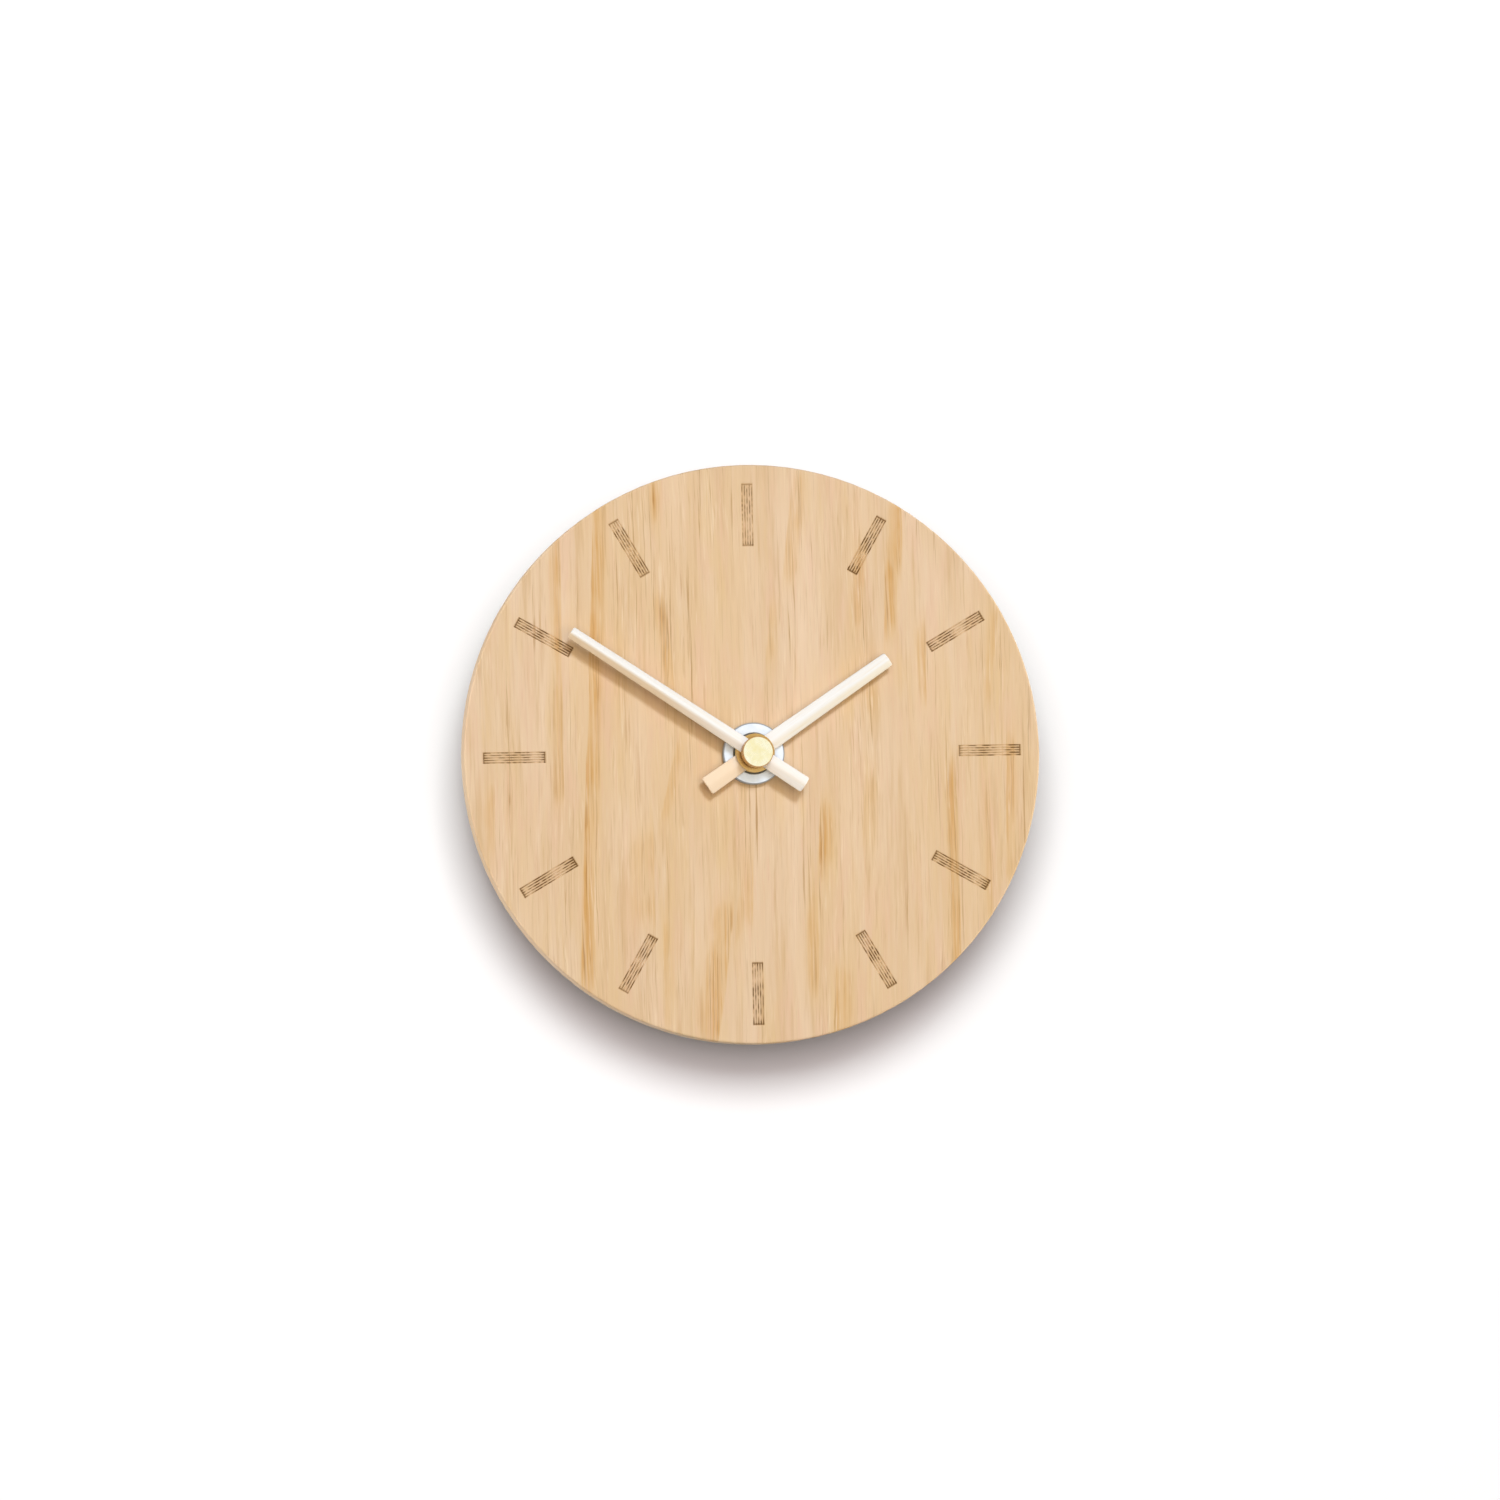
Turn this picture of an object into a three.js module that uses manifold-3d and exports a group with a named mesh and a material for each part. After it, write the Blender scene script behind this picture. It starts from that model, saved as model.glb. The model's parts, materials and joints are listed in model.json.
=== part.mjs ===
// A small round wall clock: a wooden dial with engraved hour bars, two wooden hands
// under a brass cap, and the quartz movement that turns them. Sizes are millimetres.
// It is built lying on its back: X points to three o'clock, Y to twelve o'clock and
// Z to the viewer, and the wall is the plane Z = 0. The exported group stands it up.
import * as THREE from "three";
import { mergeVertices } from "three/addons/utils/BufferGeometryUtils.js";
import Module from "manifold-3d";

// Dial
const DIAL_DIAMETER = 150;
const DIAL_THICKNESS = 8;
const DIAL_CHAMFER = 0.4;
const BAR_COUNT = 12;
const BAR_LENGTH = 16.2;
const BAR_WIDTH = 2.9;
const BAR_INSET = 4.9;
const BAR_LINES = 5;
const LINE_WIDTH = 0.35;
const LINE_DEPTH = 0.25;

// Hands, with lengths counted from their axis. They show the minute hand's turn since twelve,
// and the hour hand is set a little ahead on its pipe. HAND_RIDGE rounds the ridge, as a
// share of half the width
const SHOWN_ANGLE = 664;
const HOUR_LEAD = 0.75;
const HOUR_LENGTH = 42.75;
const HOUR_TAIL = 15.1;
const HOUR_TAIL_WIDTH = 4.95;
const HOUR_TIP_WIDTH = 3.8;
const MINUTE_LENGTH = 57;
const MINUTE_TAIL = 15.3;
const MINUTE_TAIL_WIDTH = 4.3;
const MINUTE_TIP_WIDTH = 3.1;
const HAND_THICKNESS = 1.5;
const HAND_SIDE = 0.3;
const HAND_RIDGE = 0.3;
const HAND_GAP = 0.3;
const COLLET_DIAMETER = 10;
const COLLET_THICKNESS = 0.6;
const COLLET_SLEEVE = 1;
const COLLET_WALL = 0.9;
const CAP_DIAMETER = 8;
const CAP_HEIGHT = 4.1;
const CAP_CHAMFER = 0.35;
const CAP_BORE_DEPTH = 2.6;

// Centre fixing
const NUT_DIAMETER = 16;
const NUT_THICKNESS = 2.4;
const NUT_CHAMFER = 0.35;
const NUT_COUNTERSINK = 1.3;
const NUT_SLOT_WIDTH = 2;
const NUT_SLOT_DEPTH = 1.4;
const BUSH_DIAMETER = 8;
const BUSH_WALL = 1.3;
const BUSH_SHOULDER = 12;
const BUSH_SETBACK = 1.3;
const GASKET_DIAMETER = 24;
const GASKET_THICKNESS = 1;
const HOUR_PIPE_WALL = 0.6;
const MINUTE_TIP_DIAMETER = 2.5;
const MINUTE_PIPE_DIAMETER = 3.4;
const SECONDS_ARBOR_DIAMETER = 1.2;
const SECONDS_ARBOR_SETBACK = 1;
const RUN_CLEARANCE = 0.15;
const GLUE_GAP = 0.05;

// Battery, an AA cell
const BATTERY_DIAMETER = 14.2;
const BATTERY_LENGTH = 50;
const BATTERY_CHAMFER = 0.6;
const TERMINAL_DIAMETER = 5.5;
const TERMINAL_HEIGHT = 1.2;
const BATTERY_RECESS = 0.5;
const BAY_CLEARANCE = 0.5;
const BAY_FLOOR = 0.8;
const CONTACT_SPACE = 1.6;
const CONTACT_STRIP = 0.4;
const CONTACT_CLEARANCE = 0.3;
const CONTACT_BAY_WIDTH = 9;
const CONTACT_NOTCH = 1.2;
const CONTACT_END = 1;

// Movement case
const CASE_WALL = 1.4;
const CASE_CORNER = 2;
const COVER_THICKNESS = 1.6;
const COVER_REBATE = 0.6;
const COVER_CLEARANCE = 0.3;
const HANGER_WIDTH = 14;
const HANGER_HEIGHT = 9.5;
const HANGER_THICKNESS = 3;
const HANGER_RIM = 2.3;
const HANGER_HOLE_WIDTH = 6.6;
const HANGER_FOOT = 1;
const PLATE_THICKNESS = 1.2;
const PLATE_MARGIN = 2.2;
const PILLAR_RADIUS = 1.2;
const PILLAR_PIN_RADIUS = 0.7;
const PILLARS = [[-13, -7.5], [5, -8], [-10, 16], [9, 15]];

// Wheel train
const ROTOR_TEETH = 6;
const INTERMEDIATE_TEETH = 45;
const INTERMEDIATE_PINION = 8;
const SECONDS_TEETH = 32;
const SECONDS_PINION = 6;
const THIRD_TEETH = 45;
const THIRD_PINION = 6;
const CENTRE_TEETH = 48;
const MINUTE_PINION = 10;
const MOTION_TEETH = 30;
const MOTION_PINION = 8;
const HOUR_TEETH = 32;
const SETTING_PINION = 10;
const THIRD_MODULE = 0.333;
const ROTOR_MODULE = 0.293;
const ADDENDUM = 0.8;
const DEDENDUM = 1.1;
const BACKLASH = 0.09;
const PRESSURE_ANGLE = THREE.MathUtils.degToRad(25);
const WHEEL_THICKNESS = 0.8;
const LAYER_GAP = 0.4;
const PINION_OVERHANG = 0.1;
const ARBOR_RADIUS = 0.6;
const PIVOT_RADIUS = 0.4;
const PIVOT_LENGTH = 0.7;
const END_SHAKE = 0.2;
const TRAIN_CLEARANCE = 0.6;
const THIRD_ANGLE = 170;
const INTERMEDIATE_ANGLE = 5;
const ROTOR_ANGLE = 20;
const CENTRE_HUB_RADIUS = 1.5;
const KNOB_DIAMETER = 10;
const KNOB_NOTCHES = 20;
const KNOB_NOTCH_DEPTH = 0.5;
const KNOB_RECESS = 0.5;
const KNOB_GAP = 1;
const KNOB_SHAFT_RADIUS = 1.5;
const KNOB_SLOT_WIDTH = 1.6;
const KNOB_SLOT_DEPTH = 1.2;

// Stepping motor and circuit
const MAGNET_DIAMETER = 5.5;
const MAGNET_THICKNESS = 2.4;
const STATOR_RIM = 0.3;
const STATOR_ARM = 3;
const STATOR_THICKNESS = 1;
const STATOR_AIR_GAP = 0.45;
const STATOR_POST_RADIUS = 1.2;
const COIL_LENGTH = 20;
const COIL_RADIUS = 3.3;
const COIL_FLANGE = 0.8;
const COIL_TUBE_WALL = 0.6;
const WINDING_INSET = 0.3;
const CORE_WIDTH = 2.4;
const CORE_THICKNESS = 1.5;
const BOARD_WIDTH = 11;
const BOARD_HEIGHT = 24;
const BOARD_BOTTOM = -4.5;
const BOARD_THICKNESS = 1;
const BOARD_EDGE = 0.4;
const BOARD_POST_RADIUS = 1.2;
const CRYSTAL_DIAMETER = 2;
const CRYSTAL_LENGTH = 6;
const CHIP_DIAMETER = 6;
const CHIP_HEIGHT = 1.1;

// Facets round a full circle or along a curve, and how far a cut runs past a face
const DIAL_FACETS = 72;
const TURNED_FACETS = 24;
const SMALL_FACETS = 10;
const CROWN_FACETS = 8;
const BOW_FACETS = 8;
const OVERCUT = 1;

const wasm = await Module();
wasm.setup();

const TURN = Math.PI * 2;
const radians = THREE.MathUtils.degToRad;

function finish(color, roughness, metalness = 0) {
  return new THREE.MeshStandardMaterial({ color, roughness, metalness });
}
const OAK = finish(0xe6c69e, 0.6);
const PALE_WOOD = finish(0xf6e6cc, 0.5);
const BRASS = finish(0xcaa35a, 0.3, 1);
const ZINC = finish(0xc9ced6, 0.35, 1);
const STEEL = finish(0xb9bcc0, 0.3, 1);
const COPPER = finish(0xb5653a, 0.4, 1);
const MAGNET = finish(0x55585c, 0.45, 1);
const RUBBER = finish(0x1d1d1d, 0.85);
const BLACK_PLASTIC = finish(0x202124, 0.5);
const WHITE_PLASTIC = finish(0xe9e7e0, 0.5);
const GREEN_BOARD = finish(0x2f6b3c, 0.5);
const SLEEVE = finish(0x3b4a5a, 0.4);

// Solids are joined and cut as closed triangle meshes
function toSolid(geometry) {
  const bare = geometry.index ? geometry.toNonIndexed() : geometry.clone();
  bare.deleteAttribute("normal");
  bare.deleteAttribute("uv");
  const welded = mergeVertices(bare, 1e-5);
  return new wasm.Manifold(new wasm.Mesh({
    numProp: 3,
    vertProperties: welded.attributes.position.array,
    triVerts: new Uint32Array(welded.index.array),
  }));
}

function toGeometry(solid) {
  const mesh = solid.getMesh();
  const geometry = new THREE.BufferGeometry();
  geometry.setAttribute("position", new THREE.BufferAttribute(mesh.vertProperties, mesh.numProp));
  geometry.setIndex(new THREE.BufferAttribute(mesh.triVerts, 1));
  return geometry;
}

function join(...geometries) {
  return toGeometry(geometries.map(toSolid).reduce((whole, next) => whole.add(next)));
}

function cut(body, ...tools) {
  return toGeometry(tools.map(toSolid).reduce((left, tool) => left.subtract(tool), toSolid(body)));
}

// A solid of revolution about Z from a profile of [radius, height] pairs
function turned(profile, facets = TURNED_FACETS) {
  const points = profile.map(([radius, height]) => new THREE.Vector2(radius, height));
  return new THREE.LatheGeometry(points, facets).rotateX(Math.PI / 2);
}

function rod(radius, back, front, facets = TURNED_FACETS) {
  return turned([[0, back], [radius, back], [radius, front], [0, front]], facets);
}

function ring(bore, radius, back, front, facets = TURNED_FACETS) {
  return turned([[bore, back], [radius, back], [radius, front], [bore, front], [bore, back]], facets);
}

function plate(shape, back, front, curveSegments = 6) {
  const depth = front - back;
  return new THREE.ExtrudeGeometry(shape, { depth, bevelEnabled: false, curveSegments }).translate(0, 0, back);
}

function block(left, right, bottom, top, back, front) {
  const geometry = new THREE.BoxGeometry(right - left, top - bottom, front - back);
  return geometry.translate((left + right) / 2, (bottom + top) / 2, (back + front) / 2);
}

function roundedRectangle(left, right, bottom, top, radius) {
  const shape = new THREE.Shape();
  shape.moveTo(left + radius, bottom);
  shape.absarc(right - radius, bottom + radius, radius, -Math.PI / 2, 0);
  shape.absarc(right - radius, top - radius, radius, 0, Math.PI / 2);
  shape.absarc(left + radius, top - radius, radius, Math.PI / 2, Math.PI);
  shape.absarc(left + radius, bottom + radius, radius, Math.PI, Math.PI * 1.5);
  return shape;
}

// A solid between two rings of points with the same count, for convex rings
function loft(first, second) {
  const count = first.length;
  const index = [];
  for (let i = 0; i < count; i++) {
    const next = (i + 1) % count;
    index.push(i, next, count + i, next, count + next, count + i);
  }
  for (let i = 1; i < count - 1; i++) {
    index.push(0, i + 1, i);
    index.push(count, count + i, count + i + 1);
  }
  const geometry = new THREE.BufferGeometry().setFromPoints([...first, ...second]);
  return geometry.setIndex(index);
}

function polar(distance, degrees, from = new THREE.Vector2()) {
  const angle = radians(degrees);
  return new THREE.Vector2(Math.cos(angle), Math.sin(angle)).multiplyScalar(distance).add(from);
}

const clock = new THREE.Group();
clock.name = "wooden_wall_clock";
clock.rotation.x = Math.PI / 2;

function add(name, geometry, material, axis = new THREE.Vector2(), turn = 0) {
  const mesh = new THREE.Mesh(geometry, material);
  mesh.name = name;
  mesh.position.set(axis.x, axis.y, 0);
  mesh.rotation.z = turn;
  clock.add(mesh);
}

// Heights above the wall, from the case to the cap
const caseDepth = BATTERY_RECESS + BATTERY_DIAMETER + BAY_CLEARANCE + BAY_FLOOR;
const frontWall = caseDepth - CASE_WALL;
const dialBack = caseDepth + GASKET_THICKNESS;
const dialFront = dialBack + DIAL_THICKNESS;
const nutFront = dialFront + NUT_THICKNESS;
const hourCollet = nutFront + RUN_CLEARANCE;
const hourHand = hourCollet + COLLET_THICKNESS + GLUE_GAP;
const minuteCollet = hourHand + HAND_THICKNESS + HAND_GAP;
const minuteHand = minuteCollet + COLLET_THICKNESS + GLUE_GAP;
const capBack = minuteHand + HAND_THICKNESS + GLUE_GAP;
const capFront = capBack + CAP_HEIGHT;

// Radii on the hands' axis, each one clear of the next
const minutePipe = MINUTE_PIPE_DIAMETER / 2;
const minuteTip = MINUTE_TIP_DIAMETER / 2;
const hourBore = minutePipe + RUN_CLEARANCE;
const hourPipe = hourBore + HOUR_PIPE_WALL;
const bushBore = hourPipe + RUN_CLEARANCE;
const bushOuter = Math.max(BUSH_DIAMETER / 2, bushBore + BUSH_WALL);
const nutBore = bushOuter + RUN_CLEARANCE;
const arborBore = SECONDS_ARBOR_DIAMETER / 2 + RUN_CLEARANCE;

// The wheels lie in layers, counted from the front wall towards the back
function layer(number) {
  const front = frontWall - LAYER_GAP - number * (WHEEL_THICKNESS + LAYER_GAP);
  return { front, back: front - WHEEL_THICKNESS };
}
const [hourLayer, motionLayer, centreLayer, thirdLayer, secondsLayer, intermediateLayer] =
  [0, 1, 2, 3, 4, 5].map(layer);
const plateFront = intermediateLayer.back - LAYER_GAP;
const plateBack = plateFront - PLATE_THICKNESS;

// Modules and places of the arbors. Those beside the centre wheel stand clear of its teeth
function distance(module, teeth, mate) {
  return module * (teeth + mate) / 2;
}
function tipRadius(module, teeth) {
  return module * (teeth / 2 + ADDENDUM);
}
const thirdDistance = distance(THIRD_MODULE, SECONDS_PINION, THIRD_TEETH);
const centreModule = 2 * thirdDistance / (THIRD_PINION + CENTRE_TEETH);
const sideDistance = tipRadius(centreModule, CENTRE_TEETH) + ARBOR_RADIUS + TRAIN_CLEARANCE;
const secondsModule = 2 * sideDistance / (SECONDS_TEETH + INTERMEDIATE_PINION);
const motionModule = 2 * sideDistance / (MINUTE_PINION + MOTION_TEETH);
const hourModule = 2 * sideDistance / (MOTION_PINION + HOUR_TEETH);
const UP = 90;
const centreAxis = new THREE.Vector2();
const thirdAxis = polar(thirdDistance, THIRD_ANGLE);
const motionAxis = polar(sideDistance, UP);
const settingAxis = polar(distance(motionModule, SETTING_PINION, MOTION_TEETH), UP, motionAxis);
const intermediateAxis = polar(sideDistance, INTERMEDIATE_ANGLE);
const rotorDistance = distance(ROTOR_MODULE, ROTOR_TEETH, INTERMEDIATE_TEETH);
const rotorAxis = polar(rotorDistance, ROTOR_ANGLE, intermediateAxis);

// The coil stands beside the stator's eye. The case takes the train with its coil, and the cell with its contacts
const magnetRadius = MAGNET_DIAMETER / 2;
const statorEye = magnetRadius + STATOR_AIR_GAP;
const statorHalf = statorEye + STATOR_RIM;
const coilX = rotorAxis.x + statorHalf + RUN_CLEARANCE + COIL_RADIUS;
const inner = Math.max(BATTERY_LENGTH / 2 + CONTACT_SPACE, coilX + COIL_RADIUS + COVER_CLEARANCE);
const caseHalf = inner + CASE_WALL;

// Turn of a wheel that puts its gap opposite a tooth of the wheel that it meets
function meshed(teeth, turn, degrees, mate) {
  const along = radians(degrees);
  const past = teeth * (along - turn) / TURN;
  return along + Math.PI - TURN * (0.5 - past) / mate;
}
const motionTurn = meshed(MINUTE_PINION, 0, UP, MOTION_TEETH);
const hourTurn = meshed(MOTION_PINION, motionTurn, UP + 180, HOUR_TEETH);
const settingTurn = meshed(MOTION_TEETH, motionTurn, UP, SETTING_PINION);
const thirdTurn = meshed(SECONDS_PINION, 0, THIRD_ANGLE, THIRD_TEETH);
const centreTurn = meshed(THIRD_PINION, thirdTurn, THIRD_ANGLE + 180, CENTRE_TEETH);
const intermediateTurn = meshed(SECONDS_TEETH, 0, INTERMEDIATE_ANGLE, INTERMEDIATE_PINION);
const rotorTurn = meshed(INTERMEDIATE_TEETH, intermediateTurn, ROTOR_ANGLE, ROTOR_TEETH);

// A toothed disc. Its straight flanks join the points of the involute at the root and the tip
function gear(module, teeth, back, front) {
  const pitch = module * teeth / 2;
  const base = pitch * Math.cos(PRESSURE_ANGLE);
  const involute = (angle) => Math.tan(angle) - angle;
  const halfTooth = (radius) => {
    const angle = Math.acos(Math.min(1, base / radius));
    return (0.5 - BACKLASH) * Math.PI / teeth + involute(PRESSURE_ANGLE) - involute(angle);
  };
  const root = pitch - DEDENDUM * module;
  const tip = tipRadius(module, teeth);
  const points = [];
  for (let tooth = 0; tooth < teeth; tooth++) {
    const middle = TURN * tooth / teeth;
    const corners = [[root, -1], [tip, -1], [tip, 1], [root, 1]];
    for (const [radius, side] of corners) {
      const angle = middle + side * halfTooth(radius);
      points.push(new THREE.Vector2(radius * Math.cos(angle), radius * Math.sin(angle)));
    }
  }
  return plate(new THREE.Shape(points), back, front);
}

// A spindle that turns in the front wall and in the train plate
const pivotReach = Math.min(PIVOT_LENGTH, PLATE_THICKNESS, CASE_WALL - COVER_REBATE);
const pivotSocket = pivotReach + END_SHAKE;
const pivotHole = PIVOT_RADIUS + RUN_CLEARANCE;
const arborFront = frontWall - END_SHAKE;
function arbor() {
  return turned([
    [0, plateFront - pivotReach],
    [PIVOT_RADIUS, plateFront - pivotReach],
    [PIVOT_RADIUS, plateFront + END_SHAKE],
    [ARBOR_RADIUS, plateFront + END_SHAKE],
    [ARBOR_RADIUS, arborFront],
    [PIVOT_RADIUS, arborFront],
    [PIVOT_RADIUS, frontWall + pivotReach],
    [0, frontWall + pivotReach],
  ], SMALL_FACETS);
}

function wheelOnArbor(module, teeth, seat, pinionModule, pinionTeeth, pinionSeat) {
  const wheel = gear(module, teeth, seat.back, seat.front);
  const reach = pinionSeat.front + PINION_OVERHANG;
  const pinion = gear(pinionModule, pinionTeeth, seat.back + PINION_OVERHANG, reach);
  return join(wheel, pinion, arbor());
}

// Dial: a disc with a centre hole and a ladder of fine engraved lines at each hour
const dialRadius = DIAL_DIAMETER / 2;
const dialHole = bushOuter + RUN_CLEARANCE;
const dialDisc = turned([
  [dialHole, dialBack],
  [dialRadius - DIAL_CHAMFER, dialBack],
  [dialRadius, dialBack + DIAL_CHAMFER],
  [dialRadius, dialFront - DIAL_CHAMFER],
  [dialRadius - DIAL_CHAMFER, dialFront],
  [dialHole, dialFront],
  [dialHole, dialBack],
], DIAL_FACETS);

function hourBar(number) {
  const outer = dialRadius - BAR_INSET;
  const inner = outer - BAR_LENGTH;
  const half = BAR_WIDTH / 2;
  const depths = [dialFront - LINE_DEPTH, dialFront + LINE_DEPTH];
  const step = (BAR_WIDTH - LINE_WIDTH) / (BAR_LINES - 1);
  const lines = Array.from({ length: BAR_LINES }, (_, line) => {
    const left = -half + line * step;
    return block(left, left + LINE_WIDTH, inner, outer, ...depths);
  });
  const ends = [inner, outer - LINE_WIDTH].map(
    (foot) => block(-half, half, foot, foot + LINE_WIDTH, ...depths));
  return join(...lines, ...ends).rotateZ(-TURN * number / BAR_COUNT);
}
const hourBars = Array.from({ length: BAR_COUNT }, (_, number) => hourBar(number));
add("dial", cut(dialDisc, ...hourBars), OAK);

// Hands: tapered sticks with a flat back and a front that falls from a rounded ridge
const ridgeFall = (across) => Math.hypot(across, HAND_RIDGE) - HAND_RIDGE;
function handSection(width, along, back) {
  const points = [new THREE.Vector3(width / 2, along, back), new THREE.Vector3(-width / 2, along, back)];
  for (let step = 0; step <= CROWN_FACETS; step++) {
    const across = 2 * step / CROWN_FACETS - 1;
    const height = HAND_THICKNESS - (HAND_THICKNESS - HAND_SIDE) * ridgeFall(across) / ridgeFall(1);
    points.push(new THREE.Vector3(across * width / 2, along, back + height));
  }
  return points;
}

function hand(length, tail, tailWidth, tipWidth, back, holeRadius) {
  const stick = loft(handSection(tailWidth, -tail, back), handSection(tipWidth, length, back));
  return cut(stick, rod(holeRadius, back - HAND_THICKNESS, back + 2 * HAND_THICKNESS));
}
const hourHole = minutePipe + RUN_CLEARANCE;
const minuteHole = minuteTip + RUN_CLEARANCE;
const minuteHandTurn = -radians(SHOWN_ANGLE);
const hourHandTurn = minuteHandTurn / 12 - radians(HOUR_LEAD);
const hourStick = hand(HOUR_LENGTH, HOUR_TAIL, HOUR_TAIL_WIDTH, HOUR_TIP_WIDTH, hourHand, hourHole);
add("hour_hand", hourStick, PALE_WOOD, centreAxis, hourHandTurn);
const minuteStick = hand(MINUTE_LENGTH, MINUTE_TAIL, MINUTE_TAIL_WIDTH, MINUTE_TIP_WIDTH, minuteHand, minuteHole);
add("minute_hand", minuteStick, PALE_WOOD, centreAxis, minuteHandTurn);

// Brass collets behind the hands, and the cap that closes them
const hourColletBore = hourPipe + GLUE_GAP;
const sleeveOuter = Math.min(hourColletBore + COLLET_WALL, nutBore - RUN_CLEARANCE);
const sleeveReach = Math.min(COLLET_SLEEVE, BUSH_SETBACK - RUN_CLEARANCE);
const colletRadius = COLLET_DIAMETER / 2;
const hourColletFront = hourCollet + COLLET_THICKNESS;
add("hour_collet", turned([
  [hourColletBore, hourCollet - sleeveReach],
  [sleeveOuter, hourCollet - sleeveReach],
  [sleeveOuter, hourCollet],
  [colletRadius, hourCollet],
  [colletRadius, hourColletFront],
  [hourColletBore, hourColletFront],
  [hourColletBore, hourCollet - sleeveReach],
]), BRASS);
const minuteColletFront = minuteCollet + COLLET_THICKNESS;
add("minute_collet", ring(minuteHole, colletRadius, minuteCollet, minuteColletFront), BRASS);
const capRadius = CAP_DIAMETER / 2;
const capBoreEnd = capBack + Math.min(CAP_BORE_DEPTH, CAP_HEIGHT - CAP_CHAMFER);
add("hand_cap", turned([
  [0, capBoreEnd],
  [minuteHole, capBoreEnd],
  [minuteHole, capBack],
  [capRadius, capBack],
  [capRadius, capFront - CAP_CHAMFER],
  [capRadius - CAP_CHAMFER, capFront],
  [0, capFront],
]), BRASS);

// Centre fixing: threaded bush, rubber gasket behind the dial, round slotted nut in front
const bushFront = nutFront - BUSH_SETBACK;
const shoulder = Math.max(BUSH_SHOULDER / 2, bushOuter + RUN_CLEARANCE);
add("threaded_bush", turned([
  [bushBore, frontWall],
  [bushOuter, frontWall],
  [bushOuter, caseDepth],
  [shoulder, caseDepth],
  [shoulder, dialBack],
  [bushOuter, dialBack],
  [bushOuter, bushFront],
  [bushBore, bushFront],
  [bushBore, frontWall],
]), BRASS);
const gasketOuter = GASKET_DIAMETER / 2;
add("rubber_gasket", ring(shoulder + RUN_CLEARANCE, gasketOuter, caseDepth, dialBack), RUBBER);
const nutRadius = NUT_DIAMETER / 2;
const nutBody = turned([
  [nutBore, dialFront],
  [nutRadius, dialFront],
  [nutRadius, nutFront - NUT_CHAMFER],
  [nutRadius - NUT_CHAMFER, nutFront],
  [nutBore + NUT_COUNTERSINK, nutFront],
  [nutBore, nutFront - NUT_COUNTERSINK],
  [nutBore, dialFront],
], 2 * TURNED_FACETS);
const slotFloor = nutRadius - NUT_SLOT_DEPTH;
const nutSlots = [1, -1].map((side) => {
  const inner = side * slotFloor;
  const outer = side * (nutRadius + NUT_SLOT_DEPTH);
  const ends = [Math.min(inner, outer), Math.max(inner, outer)];
  const slot = block(-NUT_SLOT_WIDTH / 2, NUT_SLOT_WIDTH / 2, ...ends, dialFront - OVERCUT, nutFront + OVERCUT);
  return slot.rotateZ(hourHandTurn);
});
add("fixing_nut", cut(nutBody, ...nutSlots), ZINC);

// Motion work: cannon pinion with the minute pipe, motion wheel, hour wheel and setting knob
const arborTop = minuteCollet - SECONDS_ARBOR_SETBACK;
const cannonRear = centreLayer.back;
const minutePinion = gear(motionModule, MINUTE_PINION, motionLayer.back, motionLayer.front);
const minuteSpindle = turned([
  [0, cannonRear],
  [CENTRE_HUB_RADIUS, cannonRear],
  [CENTRE_HUB_RADIUS, motionLayer.front],
  [minutePipe, motionLayer.front],
  [minutePipe, minuteCollet - GLUE_GAP],
  [minuteTip, minuteCollet - GLUE_GAP],
  [minuteTip, capBoreEnd - RUN_CLEARANCE],
  [0, capBoreEnd - RUN_CLEARANCE],
]);
const cannonBore = rod(arborBore, cannonRear - OVERCUT, arborTop, SMALL_FACETS);
add("cannon_pinion", cut(join(minutePinion, minuteSpindle), cannonBore), BRASS);
const motionWheel = wheelOnArbor(
  motionModule, MOTION_TEETH, motionLayer, hourModule, MOTION_PINION,
  { front: hourLayer.front - PINION_OVERHANG });
add("motion_wheel", motionWheel, WHITE_PLASTIC, motionAxis, motionTurn);
const hourGear = gear(hourModule, HOUR_TEETH, hourLayer.back, hourLayer.front);
const hourTube = rod(hourPipe, hourLayer.back, hourColletFront);
const hourTubeBore = rod(hourBore, hourLayer.back - OVERCUT, hourColletFront + OVERCUT);
add("hour_wheel", cut(join(hourGear, hourTube), hourTubeBore), WHITE_PLASTIC, centreAxis, hourTurn);

const knobRadius = KNOB_DIAMETER / 2;
const knobHead = plateBack - KNOB_GAP;
function knurledDisc(back, front) {
  const points = [];
  for (let notch = 0; notch < 2 * KNOB_NOTCHES; notch++) {
    const radius = notch % 2 ? knobRadius : knobRadius - KNOB_NOTCH_DEPTH;
    const angle = TURN * notch / (2 * KNOB_NOTCHES);
    points.push(new THREE.Vector2(radius * Math.cos(angle), radius * Math.sin(angle)));
  }
  return plate(new THREE.Shape(points), back, front);
}
const settingPinion = gear(motionModule, SETTING_PINION, motionLayer.back, motionLayer.front);
const settingShaft = rod(KNOB_SHAFT_RADIUS, KNOB_RECESS + KNOB_SLOT_DEPTH, motionLayer.front, SMALL_FACETS);
const settingSpindle = rod(ARBOR_RADIUS, motionLayer.back, arborFront, SMALL_FACETS);
const settingPivot = rod(PIVOT_RADIUS, motionLayer.back, frontWall + pivotReach, SMALL_FACETS);
const knobSlot = block(
  -KNOB_DIAMETER, KNOB_DIAMETER, -KNOB_SLOT_WIDTH / 2, KNOB_SLOT_WIDTH / 2,
  KNOB_RECESS - OVERCUT, KNOB_RECESS + KNOB_SLOT_DEPTH);
const knobBody = cut(knurledDisc(KNOB_RECESS, knobHead), knobSlot);
const setKnob = join(knobBody, settingShaft, settingPinion, settingSpindle, settingPivot);
add("set_knob", setKnob, WHITE_PLASTIC, settingAxis, settingTurn);

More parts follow.
